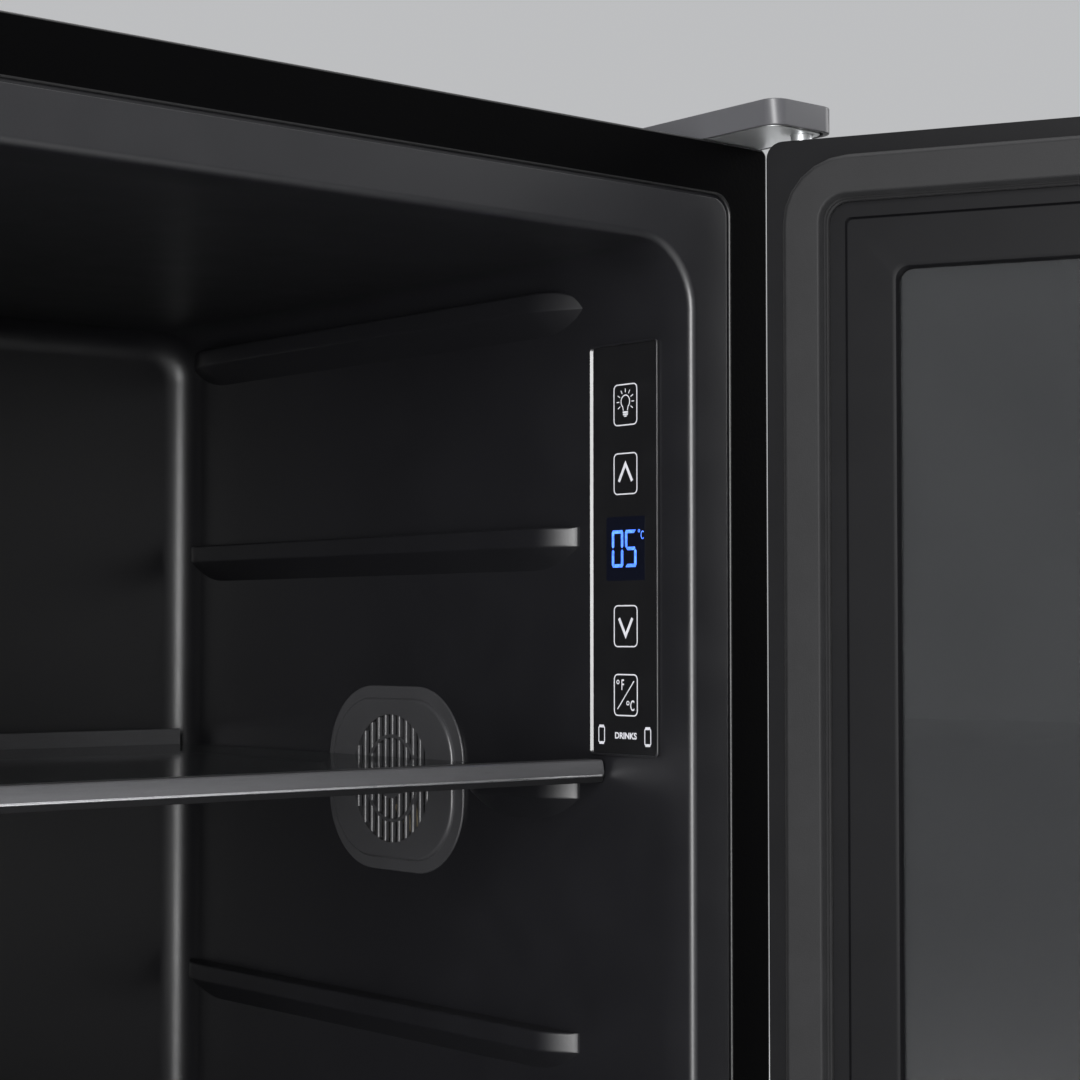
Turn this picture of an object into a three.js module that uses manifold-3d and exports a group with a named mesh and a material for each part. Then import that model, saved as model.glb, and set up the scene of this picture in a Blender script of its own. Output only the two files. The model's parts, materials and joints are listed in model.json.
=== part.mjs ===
// Compact glass-door beverage fridge, shown with its door standing open.
// Millimetres. +X is to the right of a person facing the fridge, +Y runs into the cabinet, +Z is up.
// While it is being built, x = 0 is the cabinet's middle, y = 0 its front plane and z = 0 the floor.
// The last lines move the finished group so that its box is centred over the origin.
import * as THREE from 'three';
import { mergeVertices } from 'three/addons/utils/BufferGeometryUtils.js';
import Module from 'manifold-3d';

const wasm = await Module();
wasm.setup();

// ---------------------------------------------------------------- driving dimensions
const GAP = 0.3; // between pieces that rest on each other
const RUNNING_GAP = 0.08; // between a pin and its bush

// Steel cabinet
const CABINET_WIDTH = 440;
const CABINET_DEPTH = 430;
const CABINET_HEIGHT = 820;
const FOOT_HEIGHT = 16;
const STEEL = 0.8;
const BASE_STEEL = 1.2;
const RETURN_WIDTH = 20; // the steel folded inwards round the mouth
const RETURN_RADIUS = 8;

// Insulated walls, from the outside to the face that the food sees
const WALL = 41;
const FLOOR_WALL = 46;
const BACK_WALL = 80;
const DIVIDER = 34; // between the cold cavity and the compressor room
const REAR_SPACE = 10; // behind the foam, for the condenser

// Moulded liner
const LINER = 1.5;
const MOUTH_RADIUS = 23;
const FLANGE_SEAM = 1.3;

// Shelf ledges moulded in both side walls
const LEDGE_DEPTH = 9;
const LEDGE_FACE = 7.5;
const LEDGE_SLOPE = 9;
const LEDGE_START = 62;
const LEDGE_BACK_GAP = 6;
const FIRST_LEDGE_DROP = 9.5; // below the cavity's ceiling
const SECOND_LEDGE_DROP = 92.1;
const LOWEST_LEDGE_RISE = 11.5; // above the step over the compressor
const LEDGE_COUNT = 7;
const SHELF_LEDGES = { upper: 2, middle: 4, lower: 6 };

// Shelves
const SHELF_GLASS = 4;
const SHELF_SIDE_GAP = 4.5;
const TRIM_SIDE_GAP = 0.6;
const TRIM_FRONT = 44.7;
const TRIM_DEPTH = 9.5;
const TRIM_HEIGHT = 8.8;
const TRIM_LIP = 0.8;
const TRIM_CHAMFER = 2.6;
const TRIM_WEB = 3.5; // from the trim's front to the glass in it
const REAR_TRIM_DEPTH = 9;
const REAR_TRIM_HEIGHT = 12;
const SHELF_BACK_GAP = 10;

// Control panel in the right wall
const PANEL_FRONT = 15.5;
const PANEL_WIDTH = 38.5;
const PANEL_HEIGHT = 156.4;
const PANEL_DROP = 32.6; // from the ceiling to the panel's top edge
const PANEL_PROUD = 1.8;
const PANEL_RADIUS = 2;
const PANEL_BORDER = 1.1;
const PANEL_FACE = 0.5;
const PANEL_INSET = 3; // from the panel's edge to the housing behind it
const PANEL_WEB = 1.5;
const PANEL_POCKET = 13;
const DISPLAY_SIZE = { y: 21, z: 26, x: 4 };
const BOARD = 1.6;

// Light in the left wall, opposite the control panel
const LIGHT_FRONT = 22;
const LIGHT_WIDTH = 22;
const LIGHT_HEIGHT = 142; // ends above the upper shelf, which slides past it
const LIGHT_DROP = 40;
const LIGHT_POCKET = 12;

// Circulation fan in the right wall
const FAN_Y = 180.7;
const FAN_DROP = 204; // from the ceiling to the fan's axle
const FAN_SIZE = 60;
const FAN_DEPTH = 15;
const FAN_BORE = 27.5;
const FAN_MOTOR = 12;
const FAN_MOTOR_DEPTH = 3;
const FAN_STRUT = 4;
const FAN_AXLE = 2;
const FAN_BLADES = 7;
const FAN_BLADE_TILT = 0.6;
const COVER_WIDTH = 95;
const COVER_HEIGHT = 78;
const COVER_RADIUS = 32;
const COVER_PROUD = 3;
const COVER_LEDGE_GAP = 3.5;
const SLOT_PITCH = 4.2;
const SLOT_WIDTH = 2.1;

// Door
const DOOR_OPEN_DEGREES = 117;
const DOOR_THICKNESS = 34;
const DOOR_SPACE = 8; // from the cabinet's front plane to the door's inner face
const DOOR_BOTTOM_SPACE = 8; // above the cabinet's underside
const DOOR_TOP_SPACE = 5; // below the cabinet's top
const DOOR_STILE = 42;
const DOOR_LIP = 6;
const DOOR_REBATE = 12;
const DOOR_RADIUS = 6;
const DOOR_GLASS = 4;
const GLASS_SPACER_WIDTH = 9;
const INNER_TRIM_WIDTH = 19;
const INNER_TRIM_PROUD = 1.5;
const GASKET_WIDTH = 17;
const GASKET_SEAT = 7; // from the door's edge to the gasket's outer side
const GASKET_RADIUS = 16;
const GASKET_CLEAR = 0.5; // the closed gasket stays this far off the steel

// Hinges
const PIN_INSET = 8; // from the door's side edge to the pin's axis
const PIN_FORWARD = 26; // from the cabinet's front plane to the pin's axis
const PIN_RADIUS = 4;
const PIN_HEAD = 6;
const PIN_HEAD_DEPTH = 2;
const PIN_ENGAGEMENT = 12;
const BUSH_WALL = 2.4;
const BUSH_FLANGE = 1.5;
const BUSH_LENGTH = 14;
const HINGE_PLATE = 2.5;
const HINGE_INNER = 22;
const HINGE_OUTER = 6;
const HINGE_BACK = 60;
const HINGE_COVER_HEIGHT = 9.7;
const HINGE_COVER_WALL = 1.5;
const SCREW_RADIUS = 2.2;
const SCREW_HEAD = 4.5;
const SCREW_HEAD_DEPTH = 2.4;
const SCREW_LENGTH = 12;
const SCREW_ROWS = { front: 20, rear: 44 };

// Handle
const HANDLE_LENGTH = 320;
const HANDLE_WIDTH = 12;
const HANDLE_DEPTH = 14;
const HANDLE_GAP = 28;
const HANDLE_INSET = 21; // from the door's free edge to the bar's middle
const HANDLE_POST = 6;
const HANDLE_POST_INSET = 20;
const HANDLE_ABOVE_MIDDLE = 120;

// Feet
const FOOT_SIDE_INSET = 60;
const FOOT_FRONT_INSET = 30;
const FOOT_PAD = 14;
const FOOT_PAD_HEIGHT = 9;
const FOOT_STEM = 4;
const FOOT_STEM_RISE = 10;

// Cooling circuit
const ROOM_SPACE = 20.85; // in front of the compressor and behind it
const ROOM_TOP_SPACE = 18.2; // above the drip tray
const COMPRESSOR_X = 60;
const COMPRESSOR_RADIUS = 60;
const COMPRESSOR_WALL = 3;
const COMPRESSOR_LOWER = 44;
const COMPRESSOR_UPPER = 52;
const COMPRESSOR_STAND = 13.5;
const COMPRESSOR_PLATE = { x: 150, y: 130, z: 2.5 };
const COMPRESSOR_LEG = 8;
const PUMP_RADIUS = 45;
const PUMP_HEIGHT = 62;
const RELAY = { x: 30, y: 20, z: 30 };
const TRAY = { x: 100, y: 110, z: 14, wall: 1.5 };
const TUBE_RADIUS = 3;
const COIL_TUBE = 2.4;
const COIL_RUNS = 6;
const COIL_SIDE_SPACE = 42;
const COIL_BOTTOM_SPACE = 54; // above the compressor room
const COIL_TOP_SPACE = 60;
const EVAPORATOR = 1.5;
const EVAPORATOR_SIDE_SPACE = 30;
const EVAPORATOR_TOP_SPACE = 40;
const EVAPORATOR_BOTTOM_SPACE = 60; // above the hump
const SUCTION_X = 66; // from the compressor's axis to the suction pipe
const CHANNEL = 16;
const GLAND_RADIUS = 7;
const GLAND_BORE = 3.6;
const GLAND_FLANGE = 10;
const GLAND_X = -150;
const GLAND_HEIGHT = 60;
const VENT_ROWS = 5;
const VENT_SLOT = { x: 120, z: 6 };
const VENT_SIDE_SPACE = 12;

// Roundness of the plain shapes
const CORNER_STEPS = 5;
const ARC_STEPS = 2;
const MOUTH_ARC_STEPS = 3;
const SIDES = 20;
const SMALL_SIDES = 12;
const PIPE_SIDES = 6;
const COIL_STEPS = 15; // in each run of the condenser

// ---------------------------------------------------------------- derived places
const half = CABINET_WIDTH / 2;
const bottom = FOOT_HEIGHT;
const top = FOOT_HEIGHT + CABINET_HEIGHT;
const cavityHalf = half - WALL;
const ceiling = top - WALL;
const cavityFloor = bottom + FLOOR_WALL;
const cavityBack = CABINET_DEPTH - BACK_WALL;
const flangeReach = WALL - RETURN_WIDTH - FLANGE_SEAM;
const insideSteel = half - STEEL - GAP;
const foamFront = LINER + GAP;
const foamBottom = bottom + BASE_STEEL + GAP;
const foamBack = CABINET_DEPTH - STEEL - REAR_SPACE;
const compressorBottom = bottom + BASE_STEEL + COMPRESSOR_STAND;
const compressorMiddle = compressorBottom + COMPRESSOR_LOWER;
const compressorTop = compressorMiddle + GAP + COMPRESSOR_UPPER;
const roomFront = foamBack - 2 * (COMPRESSOR_RADIUS + ROOM_SPACE);
const roomTop = compressorTop + GAP + TRAY.z + ROOM_TOP_SPACE;
const compressorY = (roomFront + foamBack) / 2;
const humpFront = roomFront - DIVIDER - LINER;
const humpTop = roomTop + LINER + DIVIDER;
const fanZ = ceiling - FAN_DROP;
const firstLedge = ceiling - FIRST_LEDGE_DROP;
const secondLedge = firstLedge - SECOND_LEDGE_DROP;
const ledgePitch = (secondLedge - humpTop - LOWEST_LEDGE_RISE) / (LEDGE_COUNT - 2);
const ledges = [firstLedge, ...Array.from(
  { length: LEDGE_COUNT - 1 }, (_, i) => secondLedge - i * ledgePitch)];
const pinX = half - PIN_INSET;
const pinY = -PIN_FORWARD;
const doorInner = -DOOR_SPACE;
const doorOuter = doorInner - DOOR_THICKNESS;
const doorBottom = bottom + DOOR_BOTTOM_SPACE;
const doorTop = top - DOOR_TOP_SPACE;
const doorMiddle = (doorBottom + doorTop) / 2;

// ---------------------------------------------------------------- finishes
const finish = (color, roughness, metalness = 0) =>
  new THREE.MeshStandardMaterial({ color, roughness, metalness });
const finishes = {
  blackSteel: finish(0x0c0c0d, 0.55, 0.3),
  blackPlastic: finish(0x161618, 0.5),
  glossBlack: finish(0x08080a, 0.15),
  zincSteel: finish(0x8d9093, 0.4, 0.9),
  screwSteel: finish(0xa9acb0, 0.3, 0.9),
  foam: finish(0xd9c89a, 0.9),
  rubber: finish(0x2b2b2c, 0.85),
  clearGlass: finish(0x9fb0b2, 0.05),
  trim: finish(0x3a3a3c, 0.45),
  milkyLens: finish(0xe8e8e4, 0.4),
  board: finish(0x1d5a34, 0.6),
  copper: finish(0xb5693c, 0.35, 0.9),
  aluminium: finish(0xb9bcc0, 0.35, 0.9),
  compressorBlack: finish(0x111112, 0.4, 0.3),
  handle: finish(0x1b1b1d, 0.35, 0.8),
};

// ---------------------------------------------------------------- solid helpers
/** A closed geometry as a manifold solid. */
function solid(geometry) {
  const bare = geometry.clone();
  bare.deleteAttribute('normal');
  bare.deleteAttribute('uv');
  const merged = mergeVertices(bare, 1e-4);
  return new wasm.Manifold(new wasm.Mesh({
    numProp: 3,
    vertProperties: new Float32Array(merged.attributes.position.array),
    triVerts: new Uint32Array(merged.index.array),
  }));
}

/** A manifold solid as a geometry. */
function surface(manifold) {
  const mesh = manifold.getMesh();
  const geometry = new THREE.BufferGeometry();
  geometry.setAttribute('position', new THREE.BufferAttribute(mesh.vertProperties, 3));
  geometry.setIndex(new THREE.BufferAttribute(mesh.triVerts, 1));
  geometry.computeVertexNormals();
  return geometry;
}

/** The first geometry joined with the others. */
function join(first, ...others) {
  return surface(others.reduce((whole, next) => whole.add(solid(next)), solid(first)));
}

/** The first geometry with the others cut away. */
function cut(first, ...tools) {
  return surface(tools.reduce((whole, tool) => whole.subtract(solid(tool)), solid(first)));
}

/** What two geometries have in common. */
function common(first, second) {
  return surface(solid(first).intersect(solid(second)));
}

/** A box between two opposite corners. */
function block([x0, y0, z0], [x1, y1, z1]) {
  const geometry = new THREE.BoxGeometry(x1 - x0, y1 - y0, z1 - z0);
  geometry.translate((x0 + x1) / 2, (y0 + y1) / 2, (z0 + z1) / 2);
  return geometry;
}

/** A rectangle with round corners, as a shape or as a hole in one. */
function roundRectangle(u0, v0, u1, v1, radius, kind = THREE.Shape) {
  const outline = new kind();
  outline.moveTo(u0 + radius, v0);
  outline.lineTo(u1 - radius, v0);
  outline.absarc(u1 - radius, v0 + radius, radius, -Math.PI / 2, 0);
  outline.lineTo(u1, v1 - radius);
  outline.absarc(u1 - radius, v1 - radius, radius, 0, Math.PI / 2);
  outline.lineTo(u0 + radius, v1);
  outline.absarc(u0 + radius, v1 - radius, radius, Math.PI / 2, Math.PI);
  outline.lineTo(u0, v0 + radius);
  outline.absarc(u0 + radius, v0 + radius, radius, Math.PI, Math.PI * 1.5);
  return outline;
}

/** A straight-sided shape through the given corners. */
function polygon(corners) {
  return new THREE.Shape(corners.map(([u, v]) => new THREE.Vector2(u, v)));
}

const AXES = {
  x: [new THREE.Vector3(0, 1, 0), new THREE.Vector3(0, 0, 1), new THREE.Vector3(1, 0, 0)],
  y: [new THREE.Vector3(0, 0, 1), new THREE.Vector3(1, 0, 0), new THREE.Vector3(0, 1, 0)],
  z: [new THREE.Vector3(1, 0, 0), new THREE.Vector3(0, 1, 0), new THREE.Vector3(0, 0, 1)],
};

/** A shape pushed along an axis. It is drawn in (y, z), (z, x) or (x, y) for x, y or z. */
function prism(shape, axis, from, to, curveSegments = ARC_STEPS) {
  const geometry = new THREE.ExtrudeGeometry(shape, {
    depth: to - from, bevelEnabled: false, curveSegments,
  });
  geometry.translate(0, 0, from);
  geometry.applyMatrix4(new THREE.Matrix4().makeBasis(...AXES[axis]));
  return geometry;
}

/** A round bar along an axis through (u, v), in the same plane that a prism's shape is drawn in. */
function rod(axis, [u, v], radius, from, to, sides = SIDES) {
  const geometry = new THREE.CylinderGeometry(radius, radius, to - from, sides);
  geometry.rotateX(Math.PI / 2);
  geometry.translate(u, v, (from + to) / 2);
  geometry.applyMatrix4(new THREE.Matrix4().makeBasis(...AXES[axis]));
  return geometry;
}

/** A profile of [radius, height] points turned about an axis through (u, v). */
function turned(axis, [u, v], profile, sides = SIDES) {
  const points = profile.map(([r, h]) => new THREE.Vector2(r, h));
  if (profile[0][0] > 0) points.push(points[0].clone());
  if (THREE.ShapeUtils.area(points) < 0) points.reverse();
  const geometry = new THREE.LatheGeometry(points, sides);
  geometry.rotateX(Math.PI / 2);
  geometry.translate(u, v, 0);
  geometry.applyMatrix4(new THREE.Matrix4().makeBasis(...AXES[axis]));
  return geometry;
}

/** A six-sided pipe along a smooth line through the given points. */
function pipe(points, radius, steps) {
  const section = polygon(Array.from({ length: PIPE_SIDES }, (_, i) => {
    const angle = (i * Math.PI * 2) / PIPE_SIDES;
    return [radius * Math.cos(angle), radius * Math.sin(angle)];
  }));
  return new THREE.ExtrudeGeometry(section, {
    steps,
    extrudePath: new THREE.CatmullRomCurve3(
      points.map((p) => new THREE.Vector3(...p)), false, 'centripetal'),
  });
}

/** A profile of [outward, y] points swept round an upright rectangle with round corners. */
function sweptRing(halfX, z0, z1, radius, profile) {
  const middle = (z0 + z1) / 2;
  const centres = [
    [halfX - radius, z1 - radius], [-halfX + radius, z1 - radius],
    [-halfX + radius, z0 + radius], [halfX - radius, z0 + radius],
  ];
  const positions = [];
  centres.forEach(([cx, cz], corner) => {
    for (let step = 0; step <= CORNER_STEPS; step += 1) {
      const angle = (Math.PI / 2) * (corner + step / CORNER_STEPS);
      profile.forEach(([outward, y]) => positions.push(
        cx + (radius + outward) * Math.cos(angle), y,
        middle + (cz - middle) + (radius + outward) * Math.sin(angle)));
    }
  });
  const count = profile.length;
  const stations = positions.length / 3 / count;
  const index = [];
  for (let s = 0; s < stations; s += 1) {
    for (let p = 0; p < count; p += 1) {
      const a = s * count + p;
      const b = s * count + ((p + 1) % count);
      const c = ((s + 1) % stations) * count + p;
      const d = ((s + 1) % stations) * count + ((p + 1) % count);
      index.push(a, b, c, b, d, c);
    }
  }
  const geometry = new THREE.BufferGeometry();
  geometry.setAttribute('position', new THREE.Float32BufferAttribute(positions, 3));
  geometry.setIndex(index);
  geometry.computeVertexNormals();
  return geometry;
}

/** An upright frame: one rectangle with round corners inside another, between two depths. */
function frameRing(outerHalf, outerZ, innerHalf, innerZ, outerRadius, innerRadius, y0, y1) {
  const outline = roundRectangle(outerZ[0], -outerHalf, outerZ[1], outerHalf, outerRadius);
  outline.holes.push(
    roundRectangle(innerZ[0], -innerHalf, innerZ[1], innerHalf, innerRadius, THREE.Path));
  return prism(outline, 'y', y0, y1);
}

const fridge = new THREE.Group();
const cabinet = new THREE.Group();
fridge.add(cabinet);

/** Adds one named piece to a group. */
function place(name, geometry, material, group = cabinet) {
  const mesh = new THREE.Mesh(geometry, material);
  mesh.name = name;
  group.add(mesh);
}

// ---------------------------------------------------------------- hinge places
const hingeOutline = () => roundRectangle(
  pinX - HINGE_INNER, pinY - PIN_HEAD - 1, pinX + HINGE_OUTER, HINGE_BACK, HINGE_OUTER);
const screwX = pinX - HINGE_INNER / 2 + HINGE_OUTER / 2;
const screwSpots = Object.entries(SCREW_ROWS).map(([name, y]) => ({ name, at: [screwX, y] }));
const screwHoles = (from, to) => screwSpots.map(({ at }) =>
  rod('z', at, SCREW_RADIUS + GAP + RUNNING_GAP, from, to, SMALL_SIDES));
const screwPocket = (z0, z1) => block(
  [screwX - SCREW_HEAD, SCREW_ROWS.front - SCREW_HEAD, z0],
  [screwX + SCREW_HEAD, SCREW_ROWS.rear + SCREW_HEAD, z1]);

// ---------------------------------------------------------------- steel cabinet
function buildShell() {
  const outside = block([-half, 0, bottom], [half, CABINET_DEPTH, top]);
  const inside = block(
    [-half + STEEL, STEEL, bottom - 1], [half - STEEL, CABINET_DEPTH + 1, top - STEEL]);
  const mouth = prism(roundRectangle(
    bottom - RETURN_WIDTH, -half + RETURN_WIDTH,
    top - RETURN_WIDTH, half - RETURN_WIDTH, RETURN_RADIUS), 'y', -1, STEEL + 1);
  place('outer_shell', cut(outside, inside, mouth, ...screwHoles(top - STEEL - 1, top + 1)),
    finishes.blackSteel);

  const sillTop = cavityFloor - flangeReach - FLANGE_SEAM;
  place('front_sill', block(
    [-half + RETURN_WIDTH + GAP, 0, bottom], [half - RETURN_WIDTH - GAP, STEEL, sillTop]),
  finishes.blackSteel);

  place('back_panel', block(
    [-insideSteel, CABINET_DEPTH - STEEL, roomTop + GAP],
    [insideSteel, CABINET_DEPTH, top - STEEL - GAP]), finishes.zincSteel);

  const frontFeet = [-1, 1].map((side) => rod(
    'z', [side * (half - FOOT_SIDE_INSET), FOOT_FRONT_INSET], FOOT_STEM + GAP + RUNNING_GAP,
    bottom - 1, bottom + BASE_STEEL + 1));
  place('base_plate', cut(
    block([-insideSteel, STEEL + GAP, bottom],
      [insideSteel, CABINET_DEPTH - STEEL - GAP, bottom + BASE_STEEL]),
    ...frontFeet, ...screwHoles(bottom - 1, bottom + BASE_STEEL + 1)), finishes.zincSteel);
}

// ---------------------------------------------------------------- openings cut for what the walls hold
const panelTop = ceiling - PANEL_DROP;
const panelBottom = panelTop - PANEL_HEIGHT;
const panelBack = PANEL_FRONT + PANEL_WIDTH;
const lightTop = ceiling - LIGHT_DROP;
const lightBottom = lightTop - LIGHT_HEIGHT;
const lightBack = LIGHT_FRONT + LIGHT_WIDTH;

/** The room that a wall-mounted housing needs, from the cavity's wall outwards. */
function wallPocket(side, y0, y1, z0, z1, depth, clearance) {
  const from = cavityHalf - 1;
  const to = cavityHalf + depth + clearance;
  return block(
    [side > 0 ? from : -to, y0 - clearance, z0 - clearance],
    [side > 0 ? to : -from, y1 + clearance, z1 + clearance]);
}
const panelPocket = (depth, clearance) => wallPocket(
  1, PANEL_FRONT + PANEL_INSET, panelBack - PANEL_INSET,
  panelBottom + PANEL_INSET, panelTop - PANEL_INSET, depth, clearance);
const lightPocket = (depth, clearance) => wallPocket(
  -1, LIGHT_FRONT + PANEL_INSET, lightBack - PANEL_INSET,
  lightBottom + PANEL_INSET, lightTop - PANEL_INSET, depth, clearance);

// ---------------------------------------------------------------- liner and foam
/** The cold cavity without its ledges, grown by a wall thickness. */
function cavitySolid(grow, from) {
  const room = prism(roundRectangle(
    cavityFloor - grow, -cavityHalf - grow, ceiling + grow, cavityHalf + grow,
    MOUTH_RADIUS + grow), 'y', from, cavityBack + grow, MOUTH_ARC_STEPS);
  const hump = block(
    [-half, humpFront + grow, bottom - 1], [half, CABINET_DEPTH, humpTop - grow]);
  return cut(room, hump);
}

/** One moulded ledge on the right wall (side 1) or the left wall (side -1). */
function ledgeSolid(side, z) {
  const root = side * (cavityHalf + LINER / 2);
  const nose = side * (cavityHalf - LEDGE_DEPTH);
  const corners = [
    [z, root], [z, nose], [z - LEDGE_FACE, nose], [z - LEDGE_FACE - LEDGE_SLOPE, root]];
  const outline = polygon(side > 0 ? corners.reverse() : corners);
  return prism(outline, 'y', LEDGE_START, cavityBack - LEDGE_BACK_GAP);
}

function buildLinerAndFoam() {
  const coverHalf = COVER_WIDTH / 2 + COVER_LEDGE_GAP;
  const coverNotch = block(
    [0, FAN_Y - coverHalf, fanZ - COVER_HEIGHT / 2 - COVER_LEDGE_GAP],
    [half, FAN_Y + coverHalf, fanZ + COVER_HEIGHT / 2 + COVER_LEDGE_GAP]);
  const ledgeSet = (side) => common(
    join(...ledges.map((z) => ledgeSolid(side, z))), cavitySolid(LINER / 2, 0));
  const flange = prism(roundRectangle(
    cavityFloor - flangeReach, -cavityHalf - flangeReach,
    ceiling + flangeReach, cavityHalf + flangeReach, RETURN_RADIUS - FLANGE_SEAM), 'y', 0, LINER);
  const skin = cut(join(cavitySolid(LINER, 0), flange), cavitySolid(0, -1));
  place('inner_liner', cut(
    join(skin, cut(ledgeSet(1), coverNotch), ledgeSet(-1)),
    panelPocket(LINER, GAP), lightPocket(LINER, GAP),
    rod('x', [FAN_Y, fanZ], FAN_BORE, cavityHalf - 1, cavityHalf + LINER + 1)),
  finishes.blackPlastic);

  const whole = block([-insideSteel, foamFront, foamBottom], [insideSteel, foamBack, top - STEEL - GAP]);
  const room = block([-half, roomFront, foamBottom - 1], [half, CABINET_DEPTH, roomTop]);
  const fanPocket = wallPocket(
    1, FAN_Y - FAN_SIZE / 2, FAN_Y + FAN_SIZE / 2, fanZ - FAN_SIZE / 2, fanZ + FAN_SIZE / 2,
    LINER + GAP + FAN_DEPTH, GAP * 2);
  const plateBack = cavityBack + LINER + GAP + EVAPORATOR + GAP;
  const platePocket = block(
    [-cavityHalf + EVAPORATOR_SIDE_SPACE - GAP, cavityBack, humpTop + EVAPORATOR_BOTTOM_SPACE - GAP],
    [cavityHalf - EVAPORATOR_SIDE_SPACE + GAP, plateBack, ceiling - EVAPORATOR_TOP_SPACE + GAP]);
  const suctionChannel = block(
    [COMPRESSOR_X + SUCTION_X - CHANNEL / 2, cavityBack, roomTop - 1],
    [COMPRESSOR_X + SUCTION_X + CHANNEL / 2, plateBack + CHANNEL,
      humpTop + EVAPORATOR_BOTTOM_SPACE + CHANNEL * 2]);
  const stemPockets = [-1, 1].map((side) => block(
    [side * (half - FOOT_SIDE_INSET) - FOOT_STEM - 2, FOOT_FRONT_INSET - FOOT_STEM - 2, foamBottom - 1],
    [side * (half - FOOT_SIDE_INSET) + FOOT_STEM + 2, FOOT_FRONT_INSET + FOOT_STEM + 2,
      bottom + FOOT_STEM_RISE + 2]));
  place('foam_body', cut(
    whole, cavitySolid(LINER + GAP, -1), room, panelPocket(PANEL_POCKET, GAP * 3),
    lightPocket(LIGHT_POCKET, GAP * 3), fanPocket, platePocket, suctionChannel, ...stemPockets,
    screwPocket(top - SCREW_LENGTH - 2, top), screwPocket(bottom, bottom + SCREW_LENGTH + 2)),
  finishes.foam);
}

// ---------------------------------------------------------------- hinges fixed to the cabinet
function buildHinges() {
  const hole = PIN_RADIUS + GAP;
  const screw = (z, up) => [
    [0, z], [SCREW_HEAD, z], [SCREW_HEAD, z - up * SCREW_HEAD_DEPTH],
    [SCREW_RADIUS, z - up * SCREW_HEAD_DEPTH], [SCREW_RADIUS, z - up * SCREW_LENGTH],
    [0, z - up * SCREW_LENGTH]];
  const pin = (seat, up, end) => [
    [0, seat + up * PIN_HEAD_DEPTH], [PIN_HEAD, seat + up * PIN_HEAD_DEPTH], [PIN_HEAD, seat],
    [PIN_RADIUS, seat], [PIN_RADIUS, end], [0, end]];

  const plateTop = top + GAP + HINGE_PLATE;
  place('top_hinge_plate', cut(
    prism(hingeOutline(), 'z', top + GAP, plateTop),
    rod('z', [pinX, pinY], hole, top - 1, plateTop + 1), ...screwHoles(top - 1, plateTop + 1)),
  finishes.zincSteel);
  place('top_hinge_pin', turned(
    'z', [pinX, pinY], pin(plateTop + GAP, 1, doorTop - PIN_ENGAGEMENT)), finishes.screwSteel);
  screwSpots.forEach(({ name, at }) => place(`top_hinge_screw_${name}`, turned(
    'z', at, screw(plateTop + GAP + SCREW_HEAD_DEPTH, 1), SMALL_SIDES), finishes.screwSteel));

  const cover = (inset, from, to) => prism(roundRectangle(
    pinX - HINGE_INNER - GAP * 2 - HINGE_COVER_WALL + inset, pinY - PIN_HEAD - 4 + inset,
    half - inset, HINGE_BACK + 4 - inset, HINGE_OUTER), 'z', from, to);
  place('top_hinge_cover', cut(
    cover(0, top + GAP, top + GAP + HINGE_COVER_HEIGHT),
    cover(HINGE_COVER_WALL, top, top + GAP + HINGE_COVER_HEIGHT - HINGE_COVER_WALL)),
  finishes.blackPlastic);

  const plateBottom = bottom - GAP - HINGE_PLATE;
  place('bottom_hinge_plate', cut(
    prism(hingeOutline(), 'z', plateBottom, bottom - GAP),
    rod('z', [pinX, pinY], hole, plateBottom - 1, bottom), ...screwHoles(plateBottom - 1, bottom)),
  finishes.zincSteel);
  place('bottom_hinge_pin', turned(
    'z', [pinX, pinY], pin(plateBottom - GAP, -1, doorBottom + PIN_ENGAGEMENT)), finishes.screwSteel);
  screwSpots.forEach(({ name, at }) => place(`bottom_hinge_screw_${name}`, turned(
    'z', at, screw(plateBottom - GAP - SCREW_HEAD_DEPTH, -1), SMALL_SIDES), finishes.screwSteel));
}

// ---------------------------------------------------------------- feet
function buildFeet() {
  const padTop = bottom - GAP - 2;
  [['left', -1], ['right', 1]].forEach(([name, side]) => {
    const x = side * (half - FOOT_SIDE_INSET);
    place(`levelling_foot_${name}`, turned('z', [x, FOOT_FRONT_INSET], [
      [0, 0], [FOOT_PAD, 0], [FOOT_PAD, FOOT_PAD_HEIGHT], [FOOT_STEM, FOOT_PAD_HEIGHT],
      [FOOT_STEM, bottom + FOOT_STEM_RISE], [0, bottom + FOOT_STEM_RISE]]), finishes.rubber);
    place(`rear_foot_${name}`, turned('z', [x, CABINET_DEPTH - FOOT_FRONT_INSET], [
      [0, 0], [FOOT_PAD - 1, 0], [FOOT_PAD, padTop], [FOOT_PAD, bottom - GAP],
      [0, bottom - GAP]]), finishes.rubber);
  });
}

// ---------------------------------------------------------------- control panel, light and fan
/** A shallow wall housing: a proud plate with a recess for its face, and a box behind the wall. */
function wallHousing(side, y0, y1, z0, z1, depth) {
  const front = side * (cavityHalf - PANEL_PROUD);
  const seat = side * (cavityHalf - GAP);
  const web = side * (cavityHalf - PANEL_PROUD + PANEL_FACE + GAP + PANEL_WEB);
  const back = side * (cavityHalf + depth);
  const between = (a, b) => [Math.min(a, b), Math.max(a, b)];
  const slab = (inset, radius, a, b) => prism(
    roundRectangle(y0 + inset, z0 + inset, y1 - inset, z1 - inset, radius), 'x', ...between(a, b));
  const inner = PANEL_INSET + PANEL_WEB;
  return cut(
    join(slab(0, PANEL_RADIUS, front, seat), slab(PANEL_INSET, 1, front + side * 0.5, back)),
    slab(PANEL_BORDER, PANEL_RADIUS / 2, front - side, front + side * (PANEL_FACE + GAP)),
    slab(inner, 0.5, web, back + side));
}

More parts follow.
